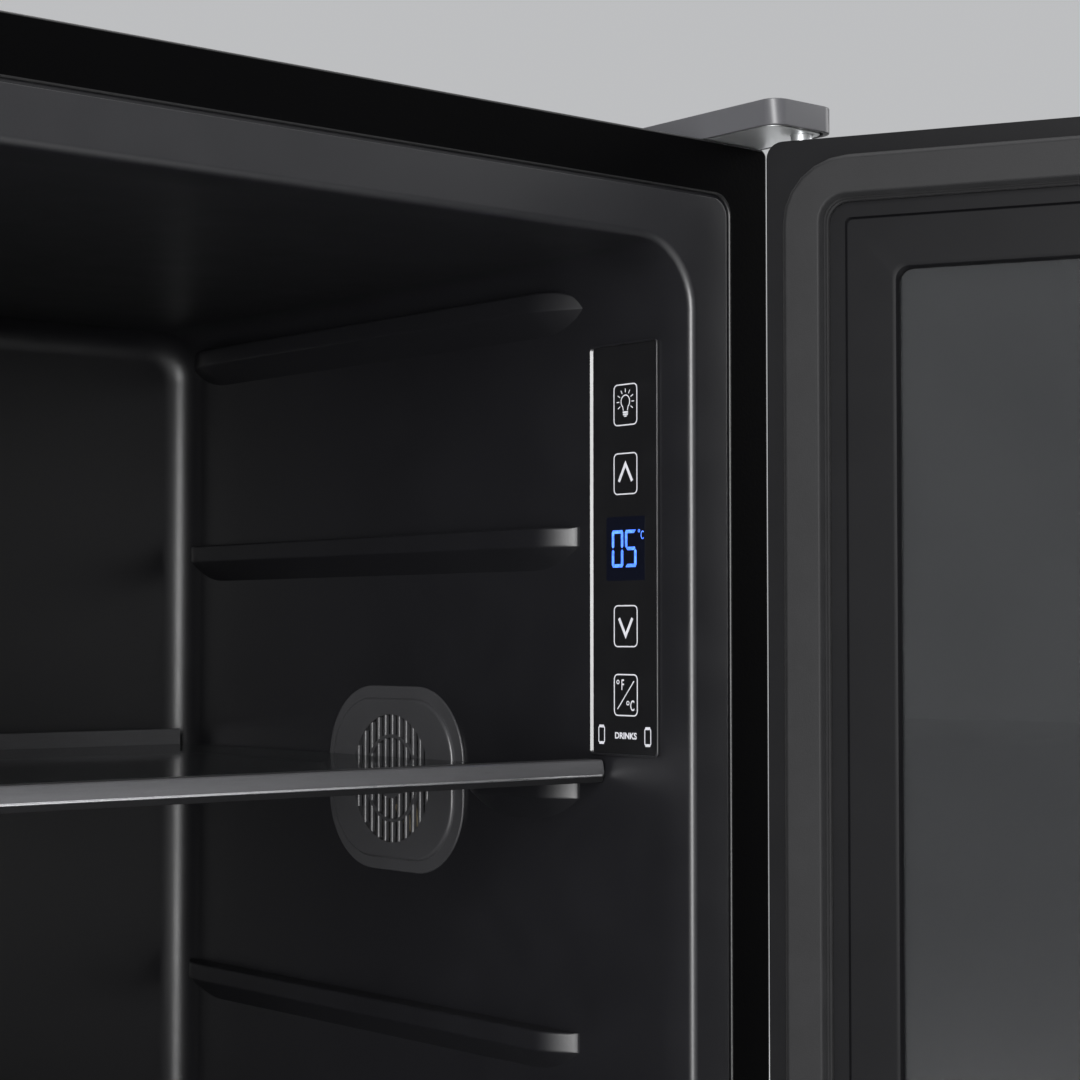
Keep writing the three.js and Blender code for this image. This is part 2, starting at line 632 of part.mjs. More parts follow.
/** The thin face let into a wall housing. */
function housingFace(side, y0, y1, z0, z1) {
  const front = cavityHalf - PANEL_PROUD;
  const inset = PANEL_BORDER + GAP;
  const outline = roundRectangle(y0 + inset, z0 + inset, y1 - inset, z1 - inset, PANEL_RADIUS / 2);
  return side > 0
    ? prism(outline, 'x', front, front + PANEL_FACE)
    : prism(outline, 'x', -front - PANEL_FACE, -front);
}

function buildControls() {
  const edges = [PANEL_FRONT, panelBack, panelBottom, panelTop];
  place('control_bezel', wallHousing(1, ...edges, PANEL_POCKET), finishes.blackPlastic);
  place('control_face', housingFace(1, ...edges), finishes.glossBlack);
  const middleY = (PANEL_FRONT + panelBack) / 2;
  const middleZ = (panelBottom + panelTop) / 2;
  const moduleFront = cavityHalf - PANEL_PROUD + PANEL_FACE + GAP + PANEL_WEB + GAP;
  place('display_module', block(
    [moduleFront, middleY - DISPLAY_SIZE.y / 2, middleZ - DISPLAY_SIZE.z / 2],
    [moduleFront + DISPLAY_SIZE.x, middleY + DISPLAY_SIZE.y / 2, middleZ + DISPLAY_SIZE.z / 2]),
  finishes.glossBlack);
  const inset = PANEL_INSET + PANEL_WEB + GAP;
  const boardFront = moduleFront + DISPLAY_SIZE.x + GAP;
  place('control_board', block(
    [boardFront, PANEL_FRONT + inset, panelBottom + inset],
    [boardFront + BOARD, panelBack - inset, panelTop - inset]), finishes.board);

  const lamp = [LIGHT_FRONT, lightBack, lightBottom, lightTop];
  place('light_housing', wallHousing(-1, ...lamp, LIGHT_POCKET), finishes.blackPlastic);
  place('light_lens', housingFace(-1, ...lamp), finishes.milkyLens);
}

function buildFan(rotorGroup) {
  const frontX = cavityHalf + LINER + GAP;
  const backX = frontX + FAN_DEPTH;
  const motorX = backX - FAN_MOTOR_DEPTH;
  const size = FAN_SIZE / 2;
  const hollow = cut(
    block([frontX, FAN_Y - size, fanZ - size], [backX, FAN_Y + size, fanZ + size]),
    rod('x', [FAN_Y, fanZ], FAN_BORE, frontX - 1, backX + 1));
  const struts = [
    block([motorX, FAN_Y - size + 1, fanZ - FAN_STRUT / 2],
      [backX - 0.5, FAN_Y + size - 1, fanZ + FAN_STRUT / 2]),
    block([motorX, FAN_Y - FAN_STRUT / 2, fanZ - size + 1],
      [backX - 0.5, FAN_Y + FAN_STRUT / 2, fanZ + size - 1])];
  const axleEnd = frontX + FAN_DEPTH / 3;
  place('fan_frame', join(
    hollow, ...struts, rod('x', [FAN_Y, fanZ], FAN_MOTOR, motorX - 0.2, backX - 0.2),
    rod('x', [FAN_Y, fanZ], FAN_AXLE, axleEnd, motorX, SMALL_SIDES)), finishes.glossBlack);

  const hubFront = frontX + 1;
  const hubBack = motorX - 0.2 - GAP * 2;
  const reach = FAN_BORE - 1.5;
  const blades = Array.from({ length: FAN_BLADES }, (_, i) => {
    const blade = new THREE.BoxGeometry(1.2, 15, reach - FAN_MOTOR + 2);
    blade.rotateZ(FAN_BLADE_TILT);
    blade.translate(0, 0, (reach + FAN_MOTOR - 2) / 2 - 1);
    blade.rotateX((i * Math.PI * 2) / FAN_BLADES);
    blade.translate((hubFront + hubBack) / 2, FAN_Y, fanZ);
    return blade;
  });
  const hub = rod('x', [FAN_Y, fanZ], FAN_MOTOR, hubFront, hubBack);
  const limits = rod('x', [FAN_Y, fanZ], reach, hubFront, hubBack);
  const bore = rod('x', [FAN_Y, fanZ], FAN_AXLE + RUNNING_GAP, axleEnd - GAP, hubBack + 1, SMALL_SIDES);
  const swept = solid(join(hub, ...blades)).intersect(solid(limits));
  place('fan_rotor', cut(surface(swept), bore), finishes.glossBlack, rotorGroup);

  const plate = prism(roundRectangle(
    FAN_Y - COVER_WIDTH / 2, fanZ - COVER_HEIGHT / 2,
    FAN_Y + COVER_WIDTH / 2, fanZ + COVER_HEIGHT / 2, COVER_RADIUS),
  'x', cavityHalf - COVER_PROUD, cavityHalf - GAP);
  const sideSlots = Math.floor((FAN_BORE - SLOT_WIDTH) / SLOT_PITCH);
  const slots = Array.from({ length: 2 * sideSlots + 1 }, (_, i) => {
    const offset = (i - sideSlots) * SLOT_PITCH;
    const reachZ = Math.sqrt(FAN_BORE ** 2 - (Math.abs(offset) + SLOT_WIDTH / 2) ** 2);
    return block(
      [cavityHalf - COVER_PROUD - 1, FAN_Y + offset - SLOT_WIDTH / 2, fanZ - reachZ],
      [cavityHalf, FAN_Y + offset + SLOT_WIDTH / 2, fanZ + reachZ]);
  });
  place('fan_cover', cut(plate, ...slots), finishes.blackPlastic);
}

// ---------------------------------------------------------------- shelves
function buildShelf(name, ledge) {
  const shelf = new THREE.Group();
  fridge.add(shelf);
  const glassBottom = ledges[ledge] + GAP;
  const glassTop = glassBottom + SHELF_GLASS;
  const glassFront = TRIM_FRONT + TRIM_WEB;
  const glassBack = cavityBack - SHELF_BACK_GAP;
  const glassHalf = cavityHalf - SHELF_SIDE_GAP;
  place(`${name}_shelf_glass`, block(
    [-glassHalf, glassFront, glassBottom], [glassHalf, glassBack - 2, glassTop]),
  finishes.clearGlass, shelf);

  const trimBottom = glassBottom - TRIM_LIP;
  const trimTop = trimBottom + TRIM_HEIGHT;
  const trimBack = TRIM_FRONT + TRIM_DEPTH;
  const trimHalf = cavityHalf - TRIM_SIDE_GAP;
  place(`${name}_shelf_front_trim`, prism(polygon([
    [TRIM_FRONT + TRIM_CHAMFER, trimBottom], [trimBack, trimBottom],
    [trimBack, glassBottom - GAP], [glassFront - GAP, glassBottom - GAP],
    [glassFront - GAP, glassTop + GAP], [trimBack, glassTop + GAP], [trimBack, trimTop],
    [TRIM_FRONT, trimTop], [TRIM_FRONT, trimBottom + TRIM_CHAMFER],
  ]), 'x', -trimHalf, trimHalf), finishes.trim, shelf);

  const railHalf = cavityHalf - LEDGE_DEPTH - 1;
  const railFront = glassBack - REAR_TRIM_DEPTH;
  place(`${name}_shelf_rear_trim`, prism(polygon([
    [railFront, trimBottom], [glassBack, trimBottom], [glassBack, trimBottom + REAR_TRIM_HEIGHT],
    [glassBack - 2, trimBottom + REAR_TRIM_HEIGHT], [glassBack - 2 + GAP, glassBottom - GAP],
    [railFront, glassBottom - GAP],
  ]), 'x', -railHalf, railHalf), finishes.trim, shelf);
}

// ---------------------------------------------------------------- door
function buildDoor() {
  const hinged = new THREE.Group();
  hinged.position.set(pinX, pinY, 0);
  hinged.rotation.z = THREE.MathUtils.degToRad(DOOR_OPEN_DEGREES);
  fridge.add(hinged);
  const door = new THREE.Group();
  door.position.set(-pinX, -pinY, 0);
  hinged.add(door);

  const outerZ = [doorBottom, doorTop];
  const inward = (inset) => [half - inset, [doorBottom + inset, doorTop - inset]];
  const [windowHalf, windowZ] = inward(DOOR_STILE);
  const [rebateHalf, rebateZ] = inward(DOOR_STILE - DOOR_REBATE);
  const lipBack = doorOuter + DOOR_LIP;
  const rebate = prism(roundRectangle(
    rebateZ[0], -rebateHalf, rebateZ[1], rebateHalf, 1), 'y', lipBack, doorInner + 1);
  const bushOuter = PIN_RADIUS + RUNNING_GAP + BUSH_WALL;
  const boreRadius = bushOuter + GAP;
  const boreDepth = BUSH_LENGTH + GAP + 1;
  place('door_frame', cut(
    frameRing(half, outerZ, windowHalf, windowZ, DOOR_RADIUS, 2, doorOuter, doorInner), rebate,
    rod('z', [pinX, pinY], boreRadius, doorTop - boreDepth, doorTop + 1),
    rod('z', [pinX, pinY], boreRadius, doorBottom - 1, doorBottom + boreDepth)),
  finishes.blackPlastic, door);

  const paneHalf = rebateHalf - GAP;
  const pane = (y) => prism(roundRectangle(
    rebateZ[0] + GAP, -paneHalf, rebateZ[1] - GAP, paneHalf, 1), 'y', y, y + DOOR_GLASS);
  const outerPane = lipBack + GAP;
  const innerPane = doorInner - INNER_TRIM_PROUD - GAP - DOOR_GLASS;
  place('door_outer_glass', pane(outerPane), finishes.clearGlass, door);
  place('door_inner_glass', pane(innerPane), finishes.clearGlass, door);
  const [spacerHalf, spacerZ] = inward(DOOR_STILE - DOOR_REBATE + GAP + GLASS_SPACER_WIDTH);
  place('glass_spacer', frameRing(
    paneHalf, [rebateZ[0] + GAP, rebateZ[1] - GAP], spacerHalf, spacerZ, 1, 2,
    outerPane + DOOR_GLASS + GAP, innerPane - GAP), finishes.aluminium, door);
  const [trimHalf, trimZ] = inward(DOOR_STILE - DOOR_REBATE + GAP + INNER_TRIM_WIDTH);
  place('door_inner_trim', frameRing(
    paneHalf, [rebateZ[0] + GAP, rebateZ[1] - GAP], trimHalf, trimZ, 1, 4,
    doorInner - INNER_TRIM_PROUD, doorInner + INNER_TRIM_PROUD), finishes.blackPlastic, door);

  const gasketBase = doorInner + GAP;
  const gasketTip = -GASKET_CLEAR;
  const w = GASKET_WIDTH / 2;
  const [gasketHalf, gasketZ] = inward(GASKET_SEAT + w);
  place('door_gasket', sweptRing(gasketHalf, gasketZ[0], gasketZ[1], GASKET_RADIUS, [
    [w, gasketBase], [w, gasketBase + 2.5], [w * 0.6, gasketTip], [-w * 0.6, gasketTip],
    [-w, gasketBase + 2.5], [-w, gasketBase],
  ]), finishes.rubber, door);

  const bush = (seat, up) => [
    [PIN_RADIUS + RUNNING_GAP, seat - up * BUSH_LENGTH], [bushOuter, seat - up * BUSH_LENGTH],
    [bushOuter, seat + up * GAP], [bushOuter + 1.2, seat + up * GAP],
    [bushOuter + 1.2, seat + up * (GAP + BUSH_FLANGE)],
    [PIN_RADIUS + RUNNING_GAP, seat + up * (GAP + BUSH_FLANGE)]];
  place('door_bush_top', turned('z', [pinX, pinY], bush(doorTop, 1)), finishes.milkyLens, door);
  place('door_bush_bottom', turned('z', [pinX, pinY], bush(doorBottom, -1)), finishes.milkyLens, door);

  const barX = -half + HANDLE_INSET;
  const barZ = doorMiddle + HANDLE_ABOVE_MIDDLE;
  const barBack = doorOuter - HANDLE_GAP;
  place('handle_bar', prism(roundRectangle(
    barX - HANDLE_WIDTH / 2, barBack - HANDLE_DEPTH, barX + HANDLE_WIDTH / 2, barBack, 4),
  'z', barZ - HANDLE_LENGTH / 2, barZ + HANDLE_LENGTH / 2), finishes.handle, door);
  const postReach = HANDLE_LENGTH / 2 - HANDLE_POST_INSET;
  [['upper', 1], ['lower', -1]].forEach(([name, up]) => place(`handle_post_${name}`, rod(
    'y', [barZ + up * postReach, barX], HANDLE_POST, barBack + GAP, doorOuter - GAP, SMALL_SIDES),
  finishes.handle, door));
}

// ---------------------------------------------------------------- cooling circuit
function buildCooling() {
  const axis = [COMPRESSOR_X, compressorY];
  const r = COMPRESSOR_RADIUS;
  const wall = COMPRESSOR_WALL;
  const plateTop = compressorBottom - GAP;
  const plateBottom = plateTop - COMPRESSOR_PLATE.z;
  const legs = [-1, 1].flatMap((sx) => [-1, 1].map((sy) => rod('z', [
    COMPRESSOR_X + sx * (COMPRESSOR_PLATE.x / 2 - COMPRESSOR_LEG),
    compressorY + sy * (COMPRESSOR_PLATE.y / 2 - COMPRESSOR_LEG),
  ], COMPRESSOR_LEG - 1, foamBottom, plateBottom + 1, SMALL_SIDES)));
  place('compressor_mount', join(block(
    [COMPRESSOR_X - COMPRESSOR_PLATE.x / 2, compressorY - COMPRESSOR_PLATE.y / 2, plateBottom],
    [COMPRESSOR_X + COMPRESSOR_PLATE.x / 2, compressorY + COMPRESSOR_PLATE.y / 2, plateTop]),
  ...legs), finishes.zincSteel);
  place('compressor_lower_shell', turned('z', axis, [
    [0, compressorBottom], [r * 0.7, compressorBottom], [r, compressorBottom + r * 0.25],
    [r, compressorMiddle], [r - wall, compressorMiddle],
    [r - wall, compressorBottom + r * 0.25], [r * 0.7 - wall, compressorBottom + wall],
    [0, compressorBottom + wall]]), finishes.compressorBlack);
  place('compressor_upper_shell', turned('z', axis, [
    [r, compressorMiddle + GAP], [r, compressorTop - r * 0.35], [r * 0.75, compressorTop - r * 0.08],
    [0, compressorTop], [0, compressorTop - wall],
    [r * 0.75 - wall, compressorTop - r * 0.08 - wall], [r - wall, compressorTop - r * 0.35 - wall],
    [r - wall, compressorMiddle + GAP]].reverse()), finishes.compressorBlack);
  const pumpBottom = compressorBottom + wall + GAP;
  place('compressor_pump', turned('z', axis, [
    [0, pumpBottom], [r * 0.7 - wall * 2, pumpBottom], [PUMP_RADIUS, pumpBottom + r * 0.25],
    [PUMP_RADIUS, pumpBottom + PUMP_HEIGHT], [0, pumpBottom + PUMP_HEIGHT]]), finishes.zincSteel);
  const relayBack = compressorY - r - GAP;
  place('start_relay', block(
    [COMPRESSOR_X - RELAY.x / 2, relayBack - RELAY.y, compressorMiddle - RELAY.z],
    [COMPRESSOR_X + RELAY.x / 2, relayBack, compressorMiddle]), finishes.blackPlastic);
  const trayBottom = compressorTop + GAP;
  const tray = (inset, z) => block(
    [COMPRESSOR_X - TRAY.x / 2 + inset, compressorY - TRAY.y / 2 + inset, z],
    [COMPRESSOR_X + TRAY.x / 2 - inset, compressorY + TRAY.y / 2 - inset, trayBottom + TRAY.z + inset]);
  place('drip_tray', cut(tray(0, trayBottom), tray(TRAY.wall, trayBottom + TRAY.wall)),
    finishes.blackPlastic);

  const coilY = CABINET_DEPTH - STEEL - REAR_SPACE / 2;
  const coilHalf = half - COIL_SIDE_SPACE;
  const coilBottom = roomTop + COIL_BOTTOM_SPACE;
  const coilRise = (top - COIL_TOP_SPACE - coilBottom) / (COIL_RUNS - 1);
  const bend = coilRise / 3;
  const coil = Array.from({ length: COIL_RUNS }, (_, i) => {
    const side = i % 2 ? -1 : 1;
    const z = coilBottom + i * coilRise;
    return [
      [-side * (coilHalf - bend), coilY, z], [0, coilY, z], [side * (coilHalf - bend), coilY, z],
      [side * coilHalf, coilY, z + coilRise / 2]];
  }).flat().slice(0, -1);
  place('condenser_coil', pipe(coil, COIL_TUBE, COIL_RUNS * COIL_STEPS), finishes.blackSteel);

  const start = coil[0];
  const shellLeft = COMPRESSOR_X - r - TUBE_RADIUS;
  place('discharge_tube', pipe([
    [COMPRESSOR_X - r - 0.6, compressorY, compressorMiddle + 20],
    [shellLeft - 20, compressorY, compressorMiddle + 22],
    [shellLeft - 90, compressorY + 40, compressorMiddle + 30],
    [start[0] - 24, coilY, roomTop - 16],
    [start[0] - 34, coilY, roomTop + 20],
    [start[0] - 26, coilY, start[2] - 6],
    [start[0] - 10, coilY, start[2]],
    [start[0] - 0.6, coilY, start[2]],
  ], TUBE_RADIUS, 26), finishes.copper);

  const suctionY = cavityBack + LINER + GAP * 2 + EVAPORATOR + CHANNEL / 2;
  const suctionX = COMPRESSOR_X + SUCTION_X;
  place('suction_tube', pipe([
    [suctionX, suctionY, humpTop + EVAPORATOR_BOTTOM_SPACE + CHANNEL],
    [suctionX, suctionY, humpTop],
    [suctionX, suctionY, roomTop],
    [suctionX + 8, suctionY - 4, roomTop - 20],
    [suctionX + 14, compressorY + 6, compressorMiddle + 34],
    [suctionX + 8, compressorY, compressorMiddle + 22],
    [COMPRESSOR_X + r + 0.6, compressorY, compressorMiddle + 20],
  ], TUBE_RADIUS, 24), finishes.copper);

  place('evaporator_plate', block(
    [-cavityHalf + EVAPORATOR_SIDE_SPACE, cavityBack + LINER + GAP, humpTop + EVAPORATOR_BOTTOM_SPACE],
    [cavityHalf - EVAPORATOR_SIDE_SPACE, cavityBack + LINER + GAP + EVAPORATOR,
      ceiling - EVAPORATOR_TOP_SPACE]), finishes.aluminium);
}

function buildRearCover() {
  const front = CABINET_DEPTH - STEEL;
  const rise = (roomTop - bottom) / (VENT_ROWS + 1);
  const vents = [-1, 1].flatMap((side) => Array.from({ length: VENT_ROWS }, (_, row) => {
    const x = (half + GLAND_X) / 2 + side * (VENT_SLOT.x / 2 + VENT_SIDE_SPACE);
    const z = bottom + (row + 1) * rise;
    return block([x - VENT_SLOT.x / 2, front - 1, z - VENT_SLOT.z / 2],
      [x + VENT_SLOT.x / 2, CABINET_DEPTH + 1, z + VENT_SLOT.z / 2]);
  }));
  const glandAt = [GLAND_HEIGHT, GLAND_X];
  place('room_cover', cut(
    block([-insideSteel, front, bottom], [insideSteel, CABINET_DEPTH, roomTop]), ...vents,
    rod('y', glandAt, GLAND_RADIUS + GAP, front - 1, CABINET_DEPTH + 1)), finishes.zincSteel);
  const seat = CABINET_DEPTH + GAP;
  place('cable_gland', turned('y', glandAt, [
    [GLAND_BORE, seat - 8], [GLAND_RADIUS, seat - 8], [GLAND_RADIUS, seat], [GLAND_FLANGE, seat],
    [GLAND_FLANGE, seat + 2.5], [GLAND_BORE, seat + 2.5]], SMALL_SIDES), finishes.rubber);
}

// ---------------------------------------------------------------- assembly
buildShell();
buildLinerAndFoam();
buildHinges();
buildFeet();
buildControls();
buildFan(cabinet);
Object.entries(SHELF_LEDGES).forEach(([name, ledge]) => buildShelf(name, ledge));
buildDoor();
buildCooling();
buildRearCover();

fridge.updateMatrixWorld(true);
const box = new THREE.Box3().setFromObject(fridge, true);
const middle = box.getCenter(new THREE.Vector3());
fridge.position.set(-middle.x, -middle.y, -box.min.z);

export default fridge;
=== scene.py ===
"""Looks of a compact glass-door beverage fridge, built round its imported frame.

Sizes in the classes are millimetres in the frame's directions: +X to the right of a person facing
the fridge, +Y into the cabinet, +Z up. Meshes are written in metres.
"""

import json
import logging
import math
from dataclasses import dataclass
from enum import Enum
from typing import Any, Iterable, Sequence

import bmesh
import bpy
from mathutils import Matrix, Vector


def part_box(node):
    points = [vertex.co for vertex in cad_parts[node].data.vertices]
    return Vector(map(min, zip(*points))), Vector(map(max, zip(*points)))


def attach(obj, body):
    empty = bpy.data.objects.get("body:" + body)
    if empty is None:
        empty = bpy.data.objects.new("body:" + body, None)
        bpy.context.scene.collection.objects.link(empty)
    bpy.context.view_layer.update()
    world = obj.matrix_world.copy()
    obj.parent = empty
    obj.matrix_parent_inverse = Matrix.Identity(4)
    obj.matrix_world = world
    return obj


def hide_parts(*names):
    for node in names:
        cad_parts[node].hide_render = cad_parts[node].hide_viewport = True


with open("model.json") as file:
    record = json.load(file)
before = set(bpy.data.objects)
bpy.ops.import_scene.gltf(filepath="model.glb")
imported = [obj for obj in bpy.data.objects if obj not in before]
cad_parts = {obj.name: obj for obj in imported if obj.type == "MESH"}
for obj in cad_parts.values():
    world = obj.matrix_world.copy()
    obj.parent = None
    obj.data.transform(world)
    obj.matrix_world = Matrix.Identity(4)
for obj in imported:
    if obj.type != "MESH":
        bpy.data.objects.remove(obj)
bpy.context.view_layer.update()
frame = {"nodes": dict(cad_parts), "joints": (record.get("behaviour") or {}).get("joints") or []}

MM = 0.001
Colour = tuple[float, float, float]
Flat = tuple[float, float]
log = logging.getLogger("fridge")


class Body(Enum):
    """The frame's bodies that pieces ride on."""

    CABINET = "cabinet"
    DOOR = "door"
    FOOT_LEFT = "levelling_foot_left"
    FOOT_RIGHT = "levelling_foot_right"


class Axis(Enum):
    """The direction a flat outline is pushed along, with the two directions it is drawn in."""

    X = (Vector((0, 1, 0)), Vector((0, 0, 1)), Vector((1, 0, 0)))
    Y = (Vector((1, 0, 0)), Vector((0, 0, 1)), Vector((0, 1, 0)))
    Z = (Vector((1, 0, 0)), Vector((0, 1, 0)), Vector((0, 0, 1)))

    def point(self, u: float, v: float, w: float) -> Vector:
        """Returns the point at (u, v) of the outline's plane and w along the axis."""
        across, up, along = self.value
        return across * u + up * v + along * w


# ---------------------------------------------------------------- shader wiring
class Wire:
    """An output socket that takes part in sums; each operator adds its Math node."""

    def __init__(self, sheet: "Sheet", socket: bpy.types.NodeSocket) -> None:
        """Keeps the socket and the sheet it belongs to."""
        self.sheet = sheet
        self.socket = socket

    def __add__(self, other: "Wire | float") -> "Wire":
        """Returns self + other."""
        return self.sheet.maths("ADD", self, other)

    __radd__ = __add__

    def __sub__(self, other: "Wire | float") -> "Wire":
        """Returns self - other."""
        return self.sheet.maths("SUBTRACT", self, other)

    def __rsub__(self, other: "Wire | float") -> "Wire":
        """Returns other - self."""
        return self.sheet.maths("SUBTRACT", other, self)

    def __mul__(self, other: "Wire | float") -> "Wire":
        """Returns self * other."""
        return self.sheet.maths("MULTIPLY", self, other)

    __rmul__ = __mul__

    def __truediv__(self, other: "Wire | float") -> "Wire":
        """Returns self / other."""
        return self.sheet.maths("DIVIDE", self, other)

    def __pow__(self, other: "Wire | float") -> "Wire":
        """Returns self to the power of other."""
        return self.sheet.maths("POWER", self, other)

    def __gt__(self, other: "Wire | float") -> "Wire":
        """Returns 1 where self is above other, else 0."""
        return self.sheet.maths("GREATER_THAN", self, other)

    def __lt__(self, other: "Wire | float") -> "Wire":
        """Returns 1 where self is below other, else 0."""
        return self.sheet.maths("LESS_THAN", self, other)

    def ramp(self, low: float, high: float) -> "Wire":
        """Returns 0 at low, 1 at high and a smooth step between."""
        node = self.sheet.node("ShaderNodeMapRange", {"interpolation_type": "SMOOTHSTEP"},
                               {"Value": self, "From Min": low, "From Max": high})
        return Wire(self.sheet, node.outputs["Result"])


class Sheet:
    """The node tree of one material, with the few ways that finishes add nodes to it."""

    def __init__(self, name: str) -> None:
        """Starts an empty material.

        Args:
            name: The material's name.
        """
        self.material = bpy.data.materials.new(name)
        self.material.use_nodes = True
        self.tree = self.material.node_tree
        self.tree.nodes.clear()

    def node(self, kind: str, settings: dict[str, Any] | None = None,
             sockets: dict[str | int, Any] | None = None) -> bpy.types.Node:
        """Adds one node.

        Args:
            kind: The node's type.
            settings: Its settings; "stops" holds a ramp's (position, colour) pairs.
            sockets: Values or wires for its inputs, by name or number.

        Returns:
            The node.
        """
        made = self.tree.nodes.new(kind)
        for name, value in (settings or {}).items():
            if name == "stops":
                elements = made.color_ramp.elements
                while len(elements) < len(value):
                    elements.new(0.5)
                for element, (position, colour) in zip(elements, value):
                    element.position = position
                    element.color = (*colour, 1)
            else:
                setattr(made, name, value)
        for name, value in (sockets or {}).items():
            socket = made.inputs[name]
            if isinstance(value, Wire):
                self.tree.links.new(value.socket, socket)
            elif isinstance(value, tuple) and len(value) == 3 and socket.type == "RGBA":
                socket.default_value = (*value, 1)
            else:
                socket.default_value = value
        return made

    def maths(self, operation: str, first: "Wire | float", second: "Wire | float") -> Wire:
        """Returns the wire of one Math node."""
        made = self.node("ShaderNodeMath", {"operation": operation}, {0: first, 1: second})
        return Wire(self, made.outputs[0])

    def place(self, stretch: Colour = (1, 1, 1)) -> Wire:
        """Returns the piece's own coordinates in metres, each multiplied by its stretch."""
        made = self.node("ShaderNodeTexCoord")
        scaled = self.node("ShaderNodeVectorMath", {"operation": "MULTIPLY"},
                           {0: Wire(self, made.outputs["Object"]), 1: stretch})
        return Wire(self, scaled.outputs[0])

    def noise(self, size: float, detail: float = 3, stretch: Colour = (1, 1, 1),
              rough: float = 0.5) -> Wire:
        """Returns a cloudy pattern from 0 to 1 whose blots are about size millimetres across."""
        made = self.node("ShaderNodeTexNoise", {"noise_dimensions": "3D"},
                         {"Vector": self.place(stretch), "Scale": 1 / (size * MM), "Detail": detail,
                          "Roughness": rough})
        return Wire(self, made.outputs[0])

    def cells(self, size: float, feature: str = "F1", stretch: Colour = (1, 1, 1)) -> Wire:
        """Returns distances in a cell pattern whose cells are about size millimetres across."""
        made = self.node("ShaderNodeTexVoronoi", {"feature": feature},
                         {"Vector": self.place(stretch), "Scale": 1 / (size * MM)})
        return Wire(self, made.outputs["Distance"])

    def mix(self, share: Wire, first: "Wire | Colour", second: "Wire | Colour") -> Wire:
        """Returns a colour that goes from first to second as share goes from 0 to 1."""
        made = self.node("ShaderNodeMix", {"data_type": "RGBA", "blend_type": "MIX"})
        for number, value in ((0, share), (6, first), (7, second)):
            if isinstance(value, Wire):
                self.tree.links.new(value.socket, made.inputs[number])
            else:
                made.inputs[number].default_value = (*value, 1)
        return Wire(self, made.outputs[2])

    def bump(self, height: Wire, depth: float, strength: float = 1.0) -> Wire:
        """Returns a normal whose relief is depth millimetres from height 0 to height 1."""
        made = self.node("ShaderNodeBump", None,
                         {"Height": height, "Distance": depth * MM, "Strength": strength})
        return Wire(self, made.outputs["Normal"])

    def facing(self, blend: float) -> Wire:
        """Returns the share by which a surface is seen edge on."""
        made = self.node("ShaderNodeLayerWeight", None, {"Blend": blend})
        return Wire(self, made.outputs["Facing"])

    def surface(self, sockets: dict[str | int, Any]) -> bpy.types.Material:
        """Ends the material in a Principled shader with these sockets."""
        shader = self.node("ShaderNodeBsdfPrincipled", None, sockets)
        end = self.node("ShaderNodeOutputMaterial")
        self.tree.links.new(shader.outputs[0], end.inputs["Surface"])
        return self.material


# ---------------------------------------------------------------- finishes
def shaded(colour: Colour, factor: float) -> Colour:
    """Returns the colour made lighter or darker by the factor."""
    return tuple(min(1.0, part * factor) for part in colour)


@dataclass(frozen=True)
class Finish:
    """What every finish holds; each kind wires its own nodes."""

    name: str
    colour: Colour
    roughness: float

    def material(self) -> bpy.types.Material:
        """Returns the finish's material, made on first use."""
        found = bpy.data.materials.get(self.name)
        return found or self.wire(Sheet(self.name))

    def wire(self, sheet: Sheet) -> bpy.types.Material:
        """Wires the finish on an empty sheet and returns its material."""
        raise NotImplementedError


@dataclass(frozen=True)
class PowderCoat(Finish):
    """Textured paint baked on steel: soft pebbles with fine grain between them."""

    pebble: float = 0.9
    depth: float = 0.05
    specular: float = 0.5

    def wire(self, sheet: Sheet) -> bpy.types.Material:
        """Wires pebbles, grain and slow changes of tone."""
        pebbles = sheet.cells(self.pebble, "SMOOTH_F1")
        grain = sheet.noise(self.pebble / 3, 4)
        tone = sheet.noise(70, 3)
        height = 0.7 * pebbles + 0.3 * grain
        return sheet.surface({
            "Base Color": sheet.mix(0.6 * tone + 0.4 * grain, shaded(self.colour, 0.65),
                                    shaded(self.colour, 1.4)),
            "Roughness": self.roughness - 0.08 + 0.16 * grain,
            "Normal": sheet.bump(height, self.depth), "Specular IOR Level": self.specular})


@dataclass(frozen=True)
class MouldedPlastic(Finish):
    """Plastic with the fine grain of its mould and the gentle waves of a formed sheet."""

    grain: float = 0.45
    depth: float = 0.012
    wave: float = 0.12
    specular: float = 0.5

    def wire(self, sheet: Sheet) -> bpy.types.Material:
        """Wires grain, waves and faint cloudiness of the gloss."""
        grain = sheet.noise(self.grain, 5, rough=0.65)
        waves = sheet.noise(55, 1)
        cloud = sheet.noise(24, 4)
        relief = grain * (self.depth / (self.depth + self.wave))
        relief = relief + waves * (self.wave / (self.depth + self.wave))
        return sheet.surface({
            "Base Color": sheet.mix(0.5 * cloud + 0.5 * grain, shaded(self.colour, 0.7),
                                    shaded(self.colour, 1.35)),
            "Roughness": self.roughness - 0.05 + 0.1 * cloud + 0.05 * grain,
            "Normal": sheet.bump(relief, self.depth + self.wave),
            "Specular IOR Level": self.specular})


@dataclass(frozen=True)
class GlossPlastic(Finish):
    """Polished plastic with slight orange peel and faint smudges."""

    coat: float = 0.3

    def wire(self, sheet: Sheet) -> bpy.types.Material:
        """Wires smudges in the gloss and a shallow peel."""
        smudge = sheet.noise(16, 5, rough=0.7).ramp(0.4, 0.75)
        peel = sheet.noise(2.2, 2)
        return sheet.surface({
            "Base Color": sheet.mix(smudge, self.colour, shaded(self.colour, 1.2)),
            "Roughness": self.roughness + 0.05 * smudge,
            "Normal": sheet.bump(peel, 0.006), "Coat Weight": self.coat, "Coat Roughness": 0.06})


